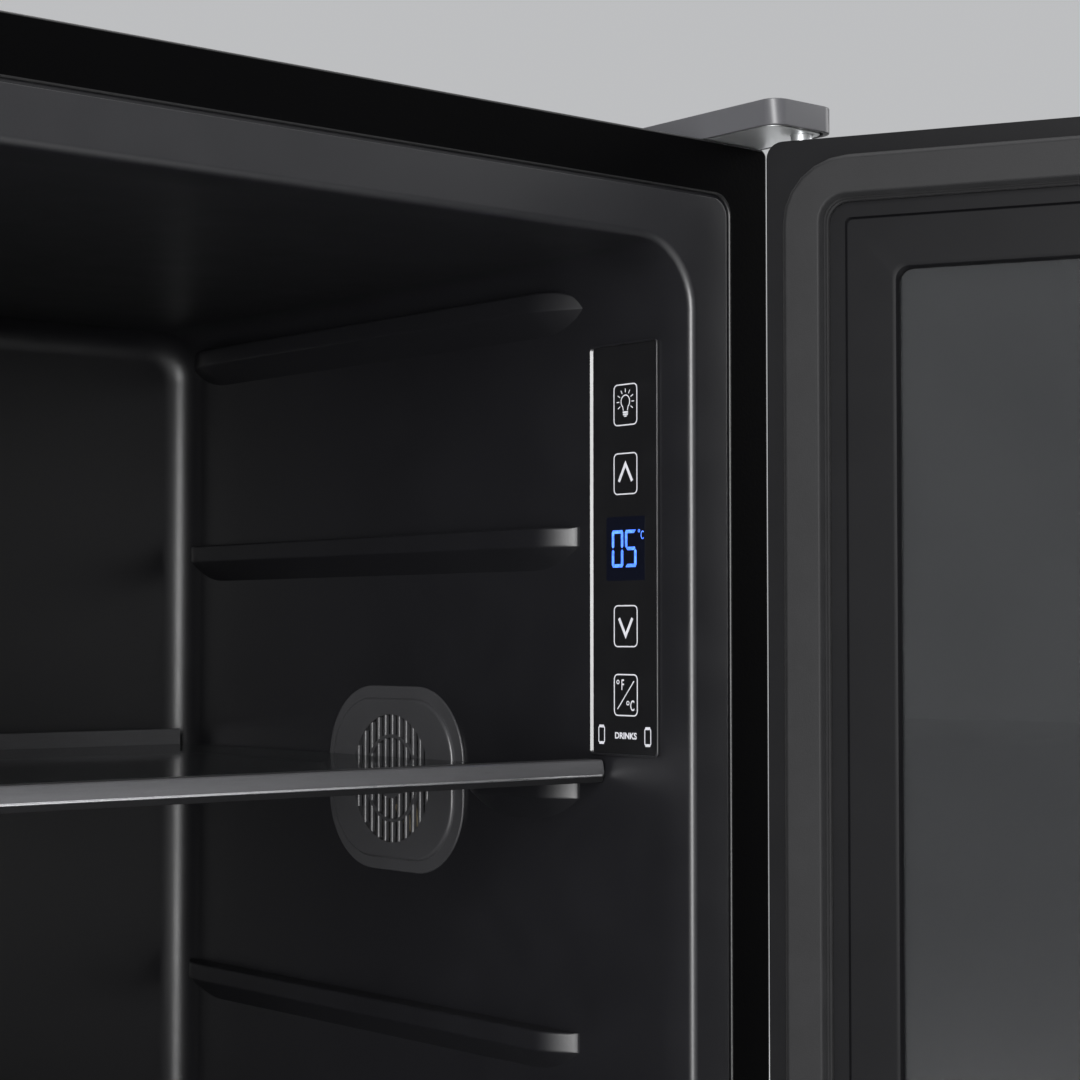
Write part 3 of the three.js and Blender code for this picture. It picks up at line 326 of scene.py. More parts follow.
@dataclass(frozen=True)
class Metal(Finish):
    """Bare or plated metal with fine lines along one direction."""

    lines: Colour = (1, 1, 1)
    line_size: float = 0.5
    spangle: float = 0.0

    def wire(self, sheet: Sheet) -> bpy.types.Material:
        """Wires drawn lines, zinc spangle and slow tarnish."""
        drawn = sheet.noise(self.line_size, 4, self.lines, 0.6)
        tarnish = sheet.noise(38, 4, rough=0.6)
        tone = 0.5 * drawn + 0.5 * tarnish
        if self.spangle:
            tone = 0.6 * tone + 0.4 * sheet.cells(self.spangle)
        return sheet.surface({
            "Base Color": sheet.mix(tone, shaded(self.colour, 0.72), shaded(self.colour, 1.2)),
            "Metallic": 1.0,
            "Roughness": self.roughness - 0.08 + 0.12 * drawn + 0.08 * tarnish,
            "Normal": sheet.bump(drawn, 0.01)})


@dataclass(frozen=True)
class SatinTrim(Finish):
    """Dark satin paint on an extruded metal trim, with fine drawn lines along X."""

    metallic: float = 0.35

    def wire(self, sheet: Sheet) -> bpy.types.Material:
        """Wires lengthwise lines and metal flakes."""
        drawn = sheet.noise(0.6, 4, (0.04, 1, 1), 0.6)
        flakes = sheet.cells(0.35)
        return sheet.surface({
            "Base Color": sheet.mix(0.6 * drawn + 0.4 * flakes, shaded(self.colour, 0.8),
                                    shaded(self.colour, 1.25)),
            "Metallic": self.metallic,
            "Roughness": self.roughness - 0.05 + 0.1 * drawn,
            "Normal": sheet.bump(drawn, 0.008)})


@dataclass(frozen=True)
class Glass(Finish):
    """Float glass that is clear face on, tinted and reflecting edge on, with specks of dust."""

    clear: float = 0.12

    def wire(self, sheet: Sheet) -> bpy.types.Material:
        """Wires the tint by viewing angle and a little dust."""
        edge = sheet.facing(0.35)
        dust = sheet.noise(0.8, 5, rough=0.75).ramp(0.66, 0.78)
        film = sheet.noise(45, 4).ramp(0.4, 0.8)
        cover = (edge * (0.75 - self.clear) + self.clear) + 0.1 * dust + 0.03 * film
        return sheet.surface({
            "Base Color": sheet.mix(dust, self.colour, (0.35, 0.36, 0.37)),
            "Roughness": self.roughness + 0.05 * film + 0.2 * dust,
            "Alpha": cover, "IOR": 1.52,
            "Normal": sheet.bump(sheet.noise(90, 1), 0.05)})


@dataclass(frozen=True)
class Rubber(Finish):
    """Soft rubber or flexible vinyl with a dusty bloom."""

    bloom: float = 0.5

    def wire(self, sheet: Sheet) -> bpy.types.Material:
        """Wires bloom, pores and fine grain."""
        bloom = sheet.noise(14, 5, rough=0.65).ramp(0.35, 0.8)
        pores = sheet.cells(0.5)
        return sheet.surface({
            "Base Color": sheet.mix(bloom * self.bloom, self.colour, shaded(self.colour, 2.2)),
            "Roughness": self.roughness + 0.1 * bloom,
            "Normal": sheet.bump(pores, 0.02), "Specular IOR Level": 0.12, "Sheen Weight": 0.02,
            "Sheen Roughness": 0.5})


@dataclass(frozen=True)
class InkWithPaintedGlow(Finish):
    """Pale screen-printed ink, slightly uneven at its edges, with a faint painted glow."""

    def wire(self, sheet: Sheet) -> bpy.types.Material:
        """Wires thin and thick places of the print and a faint painted glow in the ink's colour."""
        cover = sheet.noise(0.5, 4, rough=0.7).ramp(0.2, 0.8)
        return sheet.surface({
            "Base Color": sheet.mix(cover, shaded(self.colour, 0.75), self.colour),
            # The emission is a painted glow: the print gives off light of its own.
            "Roughness": self.roughness + 0.1 * cover, "Emission Color": self.colour,
            "Emission Strength": 0.12})


@dataclass(frozen=True)
class Glow(Finish):
    """A lit display segment: a bright core that dims towards its uneven edges."""

    core: Colour = (1, 1, 1)
    strength: float = 1.0

    def wire(self, sheet: Sheet) -> bpy.types.Material:
        """Wires the uneven light of the segment."""
        patch = sheet.noise(1.1, 2).ramp(0.3, 0.75)
        colour = sheet.mix(patch, self.colour, self.core)
        return sheet.surface({"Base Color": colour, "Roughness": self.roughness,
                              "Emission Color": colour, "Emission Strength": self.strength})


@dataclass(frozen=True)
class Foam(Finish):
    """Foamed insulation with open cells."""

    def wire(self, sheet: Sheet) -> bpy.types.Material:
        """Wires cells of two sizes."""
        small = sheet.cells(1.6, "F1")
        large = sheet.cells(6, "SMOOTH_F1")
        return sheet.surface({
            "Base Color": sheet.mix(0.6 * large + 0.4 * small, shaded(self.colour, 0.75),
                                    self.colour),
            "Roughness": self.roughness + 0.05 * small,
            "Normal": sheet.bump(0.5 * small + 0.5 * large, 0.5)})


@dataclass(frozen=True)
class CircuitBoard(Finish):
    """Green solder resist over copper tracks."""

    def wire(self, sheet: Sheet) -> bpy.types.Material:
        """Wires tracks as the borders of stretched cells."""
        tracks = 1 - sheet.cells(5, "DISTANCE_TO_EDGE", (1, 1, 0.4)).ramp(0.03, 0.08)
        return sheet.surface({
            "Base Color": sheet.mix(tracks, self.colour, shaded(self.colour, 2.0)),
            "Roughness": self.roughness + 0.1 * tracks, "Normal": sheet.bump(tracks, 0.03)})


@dataclass(frozen=True)
class StudioPaper(Finish):
    """The plain pale floor, a matt sheet with hardly visible fibres."""

    def wire(self, sheet: Sheet) -> bpy.types.Material:
        """Wires faint fibres."""
        fibres = sheet.noise(4, 4)
        return sheet.surface({
            "Base Color": sheet.mix(fibres, shaded(self.colour, 0.98), self.colour),
            "Roughness": self.roughness + 0.05 * fibres})


CABINET_PAINT = PowderCoat("cabinet_paint", (0.004, 0.004, 0.0043), 0.42, specular=0.35)
# Near-black, nearly unreflective copy of the cabinet paint for the front band round the mouth: painted
# shade, with a coarser pebble.
MOUTH_BAND_PAINTED_SHADE = PowderCoat("mouth_band_painted_shade", (0.0008, 0.0008, 0.0009), 0.6, 1.1, 0.07, specular=0.012)
LINER_PLASTIC = MouldedPlastic("liner_plastic", (0.0052, 0.0052, 0.0062), 0.35, depth=0.03)
PANEL_BORDER = MouldedPlastic("panel_border", (0.008, 0.008, 0.009), 0.26, depth=0.003, wave=0.003)
BLACK_PLASTIC = MouldedPlastic("black_plastic", (0.011, 0.011, 0.012), 0.4, wave=0.01)
DOOR_PLASTIC = MouldedPlastic("door_plastic", (0.0035, 0.0035, 0.004), 0.42, wave=0.02, specular=0.06)
GRILLE_PLASTIC = MouldedPlastic("grille_plastic", (0.03, 0.03, 0.032), 0.3, wave=0.004)
PANEL_GLOSS = GlossPlastic("panel_gloss", (0.0055, 0.0055, 0.006), 0.22)
WINDOW_GLOSS = GlossPlastic("display_window", (0.003, 0.0035, 0.007), 0.12, coat=0.5)
MOTOR_PLASTIC = GlossPlastic("motor_plastic", (0.012, 0.012, 0.013), 0.3, coat=0.0)
# Panel print, with a faint painted glow.
PANEL_INK_PAINTED_GLOW = InkWithPaintedGlow("panel_ink_painted_glow", (0.46, 0.46, 0.49), 0.4)
DIGIT_GLOW = Glow("digit_glow", (0.04, 0.12, 0.75), 0.4, core=(0.09, 0.24, 0.95), strength=1.0)
TRIM_SATIN = SatinTrim("trim_satin", (0.075, 0.075, 0.079), 0.3, metallic=0.55)
# Pale polished metal for the bead on the trim's lower edge: a painted highlight, the pale rod standing
# in for the bright edge line.
BEAD_METAL_PAINTED_HIGHLIGHT = Metal("bead_metal_painted_highlight", (0.75, 0.75, 0.77), 0.26, (0.04, 1, 1))
# Much darker paint for the trim's downward-facing faces: painted shade.
TRIM_PAINTED_SHADE = PowderCoat("trim_painted_shade", (0.006, 0.006, 0.0065), 0.55, specular=0.1)
SHELF_GLASS = Glass("shelf_glass", (0.02, 0.022, 0.023), 0.06, clear=0.55)
DOOR_GLASS = Glass("door_glass", (0.008, 0.009, 0.01), 0.03, clear=0.5)
GASKET_VINYL = Rubber("gasket_vinyl", (0.009, 0.009, 0.0095), 0.5, bloom=0.2)
FOOT_RUBBER = Rubber("foot_rubber", (0.022, 0.022, 0.022), 0.7)
ZINC = Metal("zinc_steel", (0.2, 0.205, 0.215), 0.45, spangle=9)
BRIGHT_SCREW = Metal("screw_steel", (0.55, 0.56, 0.58), 0.32, line_size=0.3)
DRAWN_ALUMINIUM = Metal("drawn_aluminium", (0.62, 0.63, 0.65), 0.36, (1, 1, 0.05))
HANDLE_METAL = Metal("handle_metal", (0.055, 0.055, 0.06), 0.34, (1, 1, 0.03), 0.35)
COPPER = Metal("copper", (0.72, 0.33, 0.18), 0.35)
COMPRESSOR_PAINT = PowderCoat("compressor_paint", (0.012, 0.012, 0.013), 0.38, 2.5, 0.03)
COIL_PAINT = PowderCoat("coil_paint", (0.014, 0.014, 0.015), 0.45, 0.7, 0.02)
MILKY_LENS = GlossPlastic("milky_lens", (0.72, 0.73, 0.74), 0.35, coat=0.2)
NYLON = MouldedPlastic("nylon", (0.6, 0.6, 0.57), 0.45, wave=0.01)
FOAM = Foam("insulation_foam", (0.68, 0.55, 0.33), 0.88)
BOARD = CircuitBoard("circuit_board", (0.01, 0.1, 0.035), 0.4)
FLOOR_PAPER = StudioPaper("studio_paper", (0.82, 0.82, 0.82), 0.75)


# ---------------------------------------------------------------- forms
@dataclass
class Form:
    """Corners, in millimetres, and the faces between them."""

    points: list[Vector]
    faces: list[tuple[int, ...]]

    def plus(self, *others: "Form") -> "Form":
        """Returns one form that holds this one and the others."""
        points, faces = list(self.points), list(self.faces)
        for other in others:
            start = len(points)
            points += other.points
            faces += [tuple(start + i for i in face) for face in other.faces]
        return Form(points, faces)

    def moved(self, matrix: Matrix) -> "Form":
        """Returns the form moved by a matrix."""
        return Form([matrix @ p for p in self.points], self.faces)

    def minus(self, *tools: "Form") -> "Form":
        """Returns the form with each tool's volume cut out of it."""
        held = self
        for tool in tools:
            body, cutter = (bpy.data.objects.new(name, form.mesh(name))
                            for name, form in (("body", held), ("cutter", tool)))
            for thing in (body, cutter):
                bpy.context.scene.collection.objects.link(thing)
            cutting = body.modifiers.new("cut", "BOOLEAN")
            cutting.operation, cutting.solver, cutting.object = "DIFFERENCE", "EXACT", cutter
            cutting.use_self = True
            graph = bpy.context.evaluated_depsgraph_get()
            result = body.evaluated_get(graph).to_mesh()
            held = Form([v.co / MM for v in result.vertices],
                        [tuple(p.vertices) for p in result.polygons])
            for thing in (body, cutter):
                mesh = thing.data
                bpy.data.objects.remove(thing)
                bpy.data.meshes.remove(mesh)
        return held

    def mesh(self, name: str) -> bpy.types.Mesh:
        """Returns the form as a clean mesh in metres, its faces turned outwards."""
        work = bmesh.new()
        corners = [work.verts.new(p * MM) for p in self.points]
        for face in self.faces:
            loop = [corners[i] for i in face]
            if len(set(face)) > 2 and not work.faces.get(loop):
                work.faces.new(loop)
        bmesh.ops.remove_doubles(work, verts=work.verts, dist=1e-6)
        bmesh.ops.dissolve_degenerate(work, edges=work.edges, dist=1e-7)
        bmesh.ops.recalc_face_normals(work, faces=work.faces)
        mesh = bpy.data.meshes.new(name)
        work.to_mesh(mesh)
        work.free()
        return mesh


def rounded(corners: Sequence[tuple[float, float, float]], steps: int = 4) -> list[Flat]:
    """Rounds the corners of a flat outline.

    Args:
        corners: (u, v, radius) of each corner in order; radius 0 keeps it sharp.
        steps: Straight pieces in each rounding.

    Returns:
        The outline's points.
    """
    outline: list[Flat] = []
    for i, (u, v, radius) in enumerate(corners):
        here = Vector((u, v))
        back = Vector(corners[i - 1][:2]) - here
        ahead = Vector(corners[(i + 1) % len(corners)][:2]) - here
        if radius <= 0:
            outline.append((u, v))
            continue
        a, b = back.normalized(), ahead.normalized()
        half_angle = math.acos(max(-1.0, min(1.0, a.dot(b)))) / 2
        reach = min(radius / math.tan(half_angle), 0.49 * back.length, 0.49 * ahead.length)
        size = reach * math.tan(half_angle)
        centre = here + (a + b).normalized() * (size / math.sin(half_angle))
        first, last = here + a * reach - centre, here + b * reach - centre
        start = math.atan2(first.y, first.x)
        turn = math.atan2(last.y, last.x) - start
        turn = (turn + math.pi) % (2 * math.pi) - math.pi
        outline += [(centre.x + size * math.cos(start + turn * k / steps),
                     centre.y + size * math.sin(start + turn * k / steps))
                    for k in range(steps + 1)]
    return outline


def rectangle(u0: float, v0: float, u1: float, v1: float, radius: float,
              steps: int = 6) -> list[Flat]:
    """Returns the outline of a rectangle with round corners."""
    return rounded([(u0, v0, radius), (u1, v0, radius), (u1, v1, radius), (u0, v1, radius)], steps)


def loft(stations: Sequence[Sequence[Vector]], closed: bool = False, capped: bool = True) -> Form:
    """Joins sections of equal count into a skin.

    Args:
        stations: The sections, each a closed run of points.
        closed: Whether the last section joins the first.
        capped: Whether the ends are filled, where there are ends.

    Returns:
        The skin.
    """
    count = len(stations[0])
    total = len(stations)
    faces: list[tuple[int, ...]] = []
    for s in range(total if closed else total - 1):
        for p in range(count):
            q = (p + 1) % count
            t = (s + 1) % total
            faces.append((s * count + p, s * count + q, t * count + q, t * count + p))
    if capped and not closed:
        faces.append(tuple(reversed(range(count))))
        faces.append(tuple((total - 1) * count + i for i in range(count)))
    return Form([Vector(p) for station in stations for p in station], faces)


def prism(outline: Sequence[Flat], axis: Axis, low: float, high: float) -> Form:
    """Returns an outline pushed along an axis from low to high."""
    return loft([[axis.point(u, v, w) for u, v in outline] for w in (low, high)])


def block(low: Sequence[float], high: Sequence[float]) -> Form:
    """Returns the box between two corners, for use as a cutter or the core of a bevelled piece."""
    return prism([(low[0], low[1]), (high[0], low[1]), (high[0], high[1]), (low[0], high[1])],
                 Axis.Z, low[2], high[2])


def turned(profile: Sequence[Flat], axis: Axis, centre: Flat, sides: int = 48) -> Form:
    """Returns a profile of (radius, height) turned about an axis through centre."""
    stations = []
    for k in range(sides):
        angle = 2 * math.pi * k / sides
        stations.append([axis.point(centre[0] + r * math.cos(angle),
                                    centre[1] + r * math.sin(angle), h) for r, h in profile])
    return loft(stations, closed=True)


@dataclass(frozen=True)
class Ring:
    """An upright rectangle with round corners that a profile is swept round.

    A profile's points are (outward, along, radius): how far outside the rectangle, where along the
    axis, and the corner's radius there.
    """

    u0: float
    u1: float
    v0: float
    v1: float
    steps: int = 8

    def station(self, corner: int, step: int, profile: Sequence[tuple[float, float, float]],
                axis: Axis) -> list[Vector]:
        """Returns the profile at one step of one corner, counted from the upper right."""
        angle = math.pi / 2 * (corner + step / self.steps)
        side_u = self.u1 if corner in (0, 3) else self.u0
        side_v = self.v1 if corner in (0, 1) else self.v0
        sign_u = 1 if corner in (0, 3) else -1
        sign_v = 1 if corner in (0, 1) else -1
        return [axis.point(side_u + sign_u * (out - r) + r * math.cos(angle),
                           side_v + sign_v * (out - r) + r * math.sin(angle), w)
                for out, w, r in profile]

    def sweep(self, profile: Sequence[tuple[float, float, float]], axis: Axis,
              capped: bool = False) -> Form:
        """Sweeps a profile round the whole ring.

        Args:
            profile: The profile's points.
            axis: The direction the ring faces.
            capped: Whether the profile is open and its first and last rounds are filled flat.

        Returns:
            The swept form.
        """
        stations = [self.station(corner, step, profile, axis)
                    for corner in range(4) for step in range(self.steps + 1)]
        form = loft(stations, closed=True)
        if not capped:
            return form
        count, total = len(profile), len(stations)
        faces = [f for f in form.faces if not {f[0] % count, f[1] % count} == {0, count - 1}]
        faces.append(tuple(s * count for s in range(total)))
        faces.append(tuple(s * count + count - 1 for s in reversed(range(total))))
        return Form(form.points, faces)

    def arch(self, profile: Sequence[tuple[float, float, float]], axis: Axis,
             foot: float) -> Form:
        """Sweeps a profile up one side, over the top and down the other, to the height foot."""
        upper = [self.station(corner, step, profile, axis)
                 for corner in (0, 1) for step in range(self.steps + 1)]
        ends = []
        for station in (upper[0], upper[-1]):
            drop = [p.copy() for p in station]
            for p in drop:
                p.z = foot
            ends.append(drop)
        return loft([ends[0], *upper, ends[1]])


def arc(centre: Flat, radius: float, start: float, end: float, steps: int = 5) -> list[Flat]:
    """Returns points of an arc between two angles in degrees."""
    return [(centre[0] + radius * math.cos(math.radians(start + (end - start) * k / steps)),
             centre[1] + radius * math.sin(math.radians(start + (end - start) * k / steps)))
            for k in range(steps + 1)]


# ---------------------------------------------------------------- making pieces
@dataclass(frozen=True)
class Span:
    """A CAD node's box in millimetres."""

    low: Vector
    high: Vector

    @classmethod
    def of(cls, node: str) -> "Span":
        """Returns the box of the named node."""
        low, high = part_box(node)
        return cls(low / MM, high / MM)

    @property
    def middle(self) -> Vector:
        """Returns the box's centre."""
        return (self.low + self.high) / 2

    @property
    def size(self) -> Vector:
        """Returns the box's side lengths."""
        return self.high - self.low


def smooth(thing: bpy.types.Object, bevel: float, segments: int, sharp: float,
           rounds: int) -> None:
    """Gives an object round edges and clean shading.

    Args:
        thing: The object.
        bevel: Width of the rounded edges in millimetres, or 0.
        segments: Faces across each rounded edge.
        sharp: Edges steeper than this, in degrees, are rounded.
        rounds: Levels of subdivision before that.
    """
    if rounds:
        division = thing.modifiers.new("round", "SUBSURF")
        division.levels = division.render_levels = rounds
    if bevel:
        edges = thing.modifiers.new("edges", "BEVEL")
        edges.width, edges.segments = bevel * MM, segments
        edges.limit_method, edges.angle_limit = "ANGLE", math.radians(sharp)
        edges.use_clamp_overlap = True
        edges.miter_outer = "MITER_ARC"
    weights = thing.modifiers.new("shading", "WEIGHTED_NORMAL")
    weights.keep_sharp = True
    weights.weight = 80


def make(name: str, form: Form, finish: Finish, body: str, replaces: Iterable[str] = (),
         bevel: float = 0.0, segments: int = 3, sharp: float = 32.0,
         rounds: int = 0, at: Matrix | None = None) -> bpy.types.Object:
    """Makes one finished piece of the fridge.

    Args:
        name: The piece's name.
        form: Its shape, in millimetres.
        finish: Its finish.
        body: The CAD body it rides on.
        replaces: CAD nodes it stands for.
        bevel: Width of its rounded edges in millimetres.
        segments: Faces across each rounded edge.
        sharp: Edges steeper than this, in degrees, are rounded or kept crisp.
        rounds: Levels of subdivision.
        at: Where the form's own coordinates lie in the frame, if they are not the frame's.

    Returns:
        The object.
    """
    mesh = form.mesh(name)
    if at is not None:
        mesh.transform(at)
    for face in mesh.polygons:
        face.use_smooth = True
    if not bevel:
        mesh.set_sharp_from_angle(angle=math.radians(sharp))
    thing = bpy.data.objects.new(name, mesh)
    bpy.context.scene.collection.objects.link(thing)
    mesh.materials.append(finish.material())
    smooth(thing, bevel, segments, sharp, rounds)
    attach(thing, body)
    if replaces:
        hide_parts(*replaces)
    log.info("%s: %d faces, %s, on %s", name, len(mesh.polygons), finish.name, body)
    return thing


def dress(node: str, finish: Finish, bevel: float = 0.3, rounds: int = 0,
          segments: int = 2) -> None:
    """Gives a CAD node that stays in view its finish and round edges."""
    thing = frame["nodes"][node]
    thing.data.materials.clear()
    thing.data.materials.append(finish.material())
    for face in thing.data.polygons:
        face.use_smooth = True
    weld = thing.modifiers.new("weld", "WELD")
    weld.merge_threshold = 1e-6
    smooth(thing, bevel, segments, 32.0, rounds)
    log.info("%s: kept from the frame, %s", node, finish.name)


# ---------------------------------------------------------------- cabinet
@dataclass(frozen=True)
class Cabinet:
    """The folded steel wrap, sill, base and rear sheets."""

    steel: float = 0.8
    fold: float = 20.0
    fold_radius: float = 8.0
    edge: float = 0.8
    corner: float = 3.0
    band_depth: float = 0.5
    band_flatness: float = 0.99
    screw_head: float = 3.4
    screw_rise: float = 1.5
    screw_inset: Flat = (8.0, 10.0)
    bead_depth: float = 1.1
    bead_inset: float = 12.0
    bead_width: float = 7.0
    sheet_grid: tuple[int, int] = (120, 170)
    pressed_frames: tuple[tuple[float, ...], ...] = ((0.13, 0.87, 0.56, 0.93),
                                                     (0.13, 0.87, 0.09, 0.46))
    vent_rows: int = 7
    vent_columns: int = 3
    vent_height: float = 4.5
    vent_margin: float = 13.0
    vent_spacing: float = 6.0
    gland_hole: float = 7.2

    def build(self) -> None:
        """Builds the cabinet's steel pieces."""
        self.wrap()
        self.rear_sheet()
        self.rear_cover()
        self.rear_screws()
        dress("front_sill", CABINET_PAINT, 0.35)
        dress("base_plate", ZINC, 0.3)
        dress("cable_gland", FOOT_RUBBER, 0.5)
        dress("foam_body", FOAM, 0.0)

    def wrap(self) -> None:
        """Builds the top and sides, folded inwards round the mouth; the fold's front band gets a
        near-black copy of the paint as painted shade.
        """
        box = Span.of("outer_shell")
        ring = Ring(box.low.x, box.high.x, box.low.z, box.high.z)
        front, back, t = box.low.y, box.high.y, self.steel
        side = self.corner
        profile = [(-self.fold, front + t, self.fold_radius),
                   (-self.fold, front + 0.75, self.fold_radius),
                   (-self.fold + 0.1, front + 0.38, self.fold_radius),
                   (-self.fold + 0.36, front + 0.1, self.fold_radius),
                   (-self.fold + 0.8, front, self.fold_radius)]
        profile += [(u, v, side) for u, v in
                    arc((-self.edge, front + self.edge), self.edge, -90, 0)]
        profile += [(0, back - 0.3, side), (-0.3, back, side), (-t, back, side),
                    (-t, front + t, side)]
        wrap = make("cabinet_wrap", ring.arch(profile, Axis.Y, box.low.z), CABINET_PAINT,
                    Body.CABINET.value, ["outer_shell"], sharp=25)
        # The flat front-facing band of the fold gets the near-black copy of the paint: painted shade
        # over that strip.
        wrap.data.materials.append(MOUTH_BAND_PAINTED_SHADE.material())
        for face in wrap.data.polygons:
            flat = abs(face.normal.y) > self.band_flatness
            face.material_index = int(flat and face.center.y < (front + self.band_depth) * MM)

    def rear_sheet(self) -> None:
        """Builds the back panel with two pressed frames that stiffen it."""
        box = Span.of("back_panel")
        columns, rows = self.sheet_grid

        def pressed(s: float, t: float) -> float:
            """Returns how deep the sheet is pressed at a share (s, t) of its width and height."""
            deepest = 0.0
            for s0, s1, t0, t1 in self.pressed_frames:
                du = (abs(s - (s0 + s1) / 2) - (s1 - s0) / 2 + 0.03) * box.size.x
                dv = (abs(t - (t0 + t1) / 2) - (t1 - t0) / 2 + 0.02) * box.size.z
                outside = math.hypot(max(du, 0), max(dv, 0)) + min(max(du, dv), 0)
                bead = 1 - min(1.0, abs(outside - self.bead_inset) / self.bead_width)
                deepest = max(deepest, bead * bead * (3 - 2 * bead))
            return deepest * self.bead_depth

        points, faces = [], []
        for y in (box.high.y, box.low.y):
            for row in range(rows + 1):
                for column in range(columns + 1):
                    s, t = column / columns, row / rows
                    points.append(Vector((box.low.x + s * box.size.x, y - pressed(s, t),
                                          box.low.z + t * box.size.z)))
        width, layer = columns + 1, (columns + 1) * (rows + 1)
        for row in range(rows):
            for column in range(columns):
                a = row * width + column
                faces.append((a, a + 1, a + 1 + width, a + width))
                faces.append((layer + a, layer + a + width, layer + a + 1 + width, layer + a + 1))
        rim = list(range(columns)) + [columns + r * width for r in range(rows)]
        rim += [rows * width + c for c in range(columns, 0, -1)]
        rim += [r * width for r in range(rows, 0, -1)]
        for i, a in enumerate(rim):
            b = rim[(i + 1) % len(rim)]
            faces.append((a, b, layer + b, layer + a))
        make("rear_sheet", Form(points, faces), ZINC, Body.CABINET.value, ["back_panel"],
             sharp=50)

    def rear_cover(self) -> None:
        """Builds the compressor room's cover with its rows of round-ended vents."""
        box = Span.of("room_cover")
        gland = Span.of("cable_gland")
        left, right = gland.high.x + 14, box.high.x - 24
        slot, margin, gap = self.vent_height, self.vent_margin, self.vent_spacing
        pitch = (box.size.z - 2 * margin) / (self.vent_rows - 1)
        width = (right - left) / self.vent_columns
        tools = []
        for row in range(self.vent_rows):
            z = box.low.z + margin + row * pitch
            for column in range(self.vent_columns):
                x0, x1 = left + column * width + gap, left + (column + 1) * width - gap
                tools.append(prism(rectangle(x0, z - slot / 2, x1, z + slot / 2, slot / 2, 5),
                                   Axis.Y, box.low.y - 2, box.high.y + 2))
        centre = gland.middle
        hole = self.gland_hole
        tools.append(turned([(0, box.low.y - 2), (hole, box.low.y - 2), (hole, box.high.y + 2),
                             (0, box.high.y + 2)], Axis.Y, (centre.x, centre.z), 32))
        sheet = prism(rectangle(box.low.x, box.low.z, box.high.x, box.high.z, 2, 3), Axis.Y,
                      box.low.y, box.high.y)
        make("rear_cover", sheet.minus(tools[0].plus(*tools[1:])), ZINC, Body.CABINET.value,
             ["room_cover"], sharp=25)

    def rear_screws(self) -> None:
        """Builds the cross-headed screws round the rear sheets."""
        panel, cover = Span.of("back_panel"), Span.of("room_cover")
        seat = panel.high.y - 0.1
        dx, dz = self.screw_inset
        spots = [(x, z) for x in (panel.low.x + dx, panel.high.x - dx)
                 for z in (panel.low.z + dz, panel.middle.z, panel.high.z - dz)]
        spots += [(panel.middle.x, panel.high.z - dz), (panel.middle.x, panel.low.z + dz)]
        spots += [(x, z) for x in (cover.low.x + dx, cover.high.x - dx)
                  for z in (cover.low.z + dz, cover.high.z - dz)]
        screws = [screw_head(Axis.Y, spot, seat, self.screw_rise, self.screw_head)
                  for spot in spots]
        make("rear_screws", screws[0].plus(*screws[1:]), BRIGHT_SCREW, Body.CABINET.value,
             sharp=25)


def screw_head(axis: Axis, centre: Flat, seat: float, rise: float, radius: float) -> Form:
    """Returns a pan head with a cross recess, rising from its seat along the axis."""
    profile = [(0, seat), (radius, seat), (radius, seat + 0.25 * rise),
               (0.92 * radius, seat + 0.6 * rise), (0.7 * radius, seat + 0.88 * rise),
               (0.4 * radius, seat + rise), (0, seat + rise)]
    head = turned(profile, axis, centre, 24)
    arm, wide = 0.55 * radius, 0.14 * radius
    floor, above = sorted((seat + 0.35 * rise, seat + 1.5 * rise))
    cross = [prism([(centre[0] - a, centre[1] - b), (centre[0] + a, centre[1] - b),
                    (centre[0] + a, centre[1] + b), (centre[0] - a, centre[1] + b)],
                   axis, floor, above) for a, b in ((arm, wide), (wide, arm))]
    return head.minus(*cross)


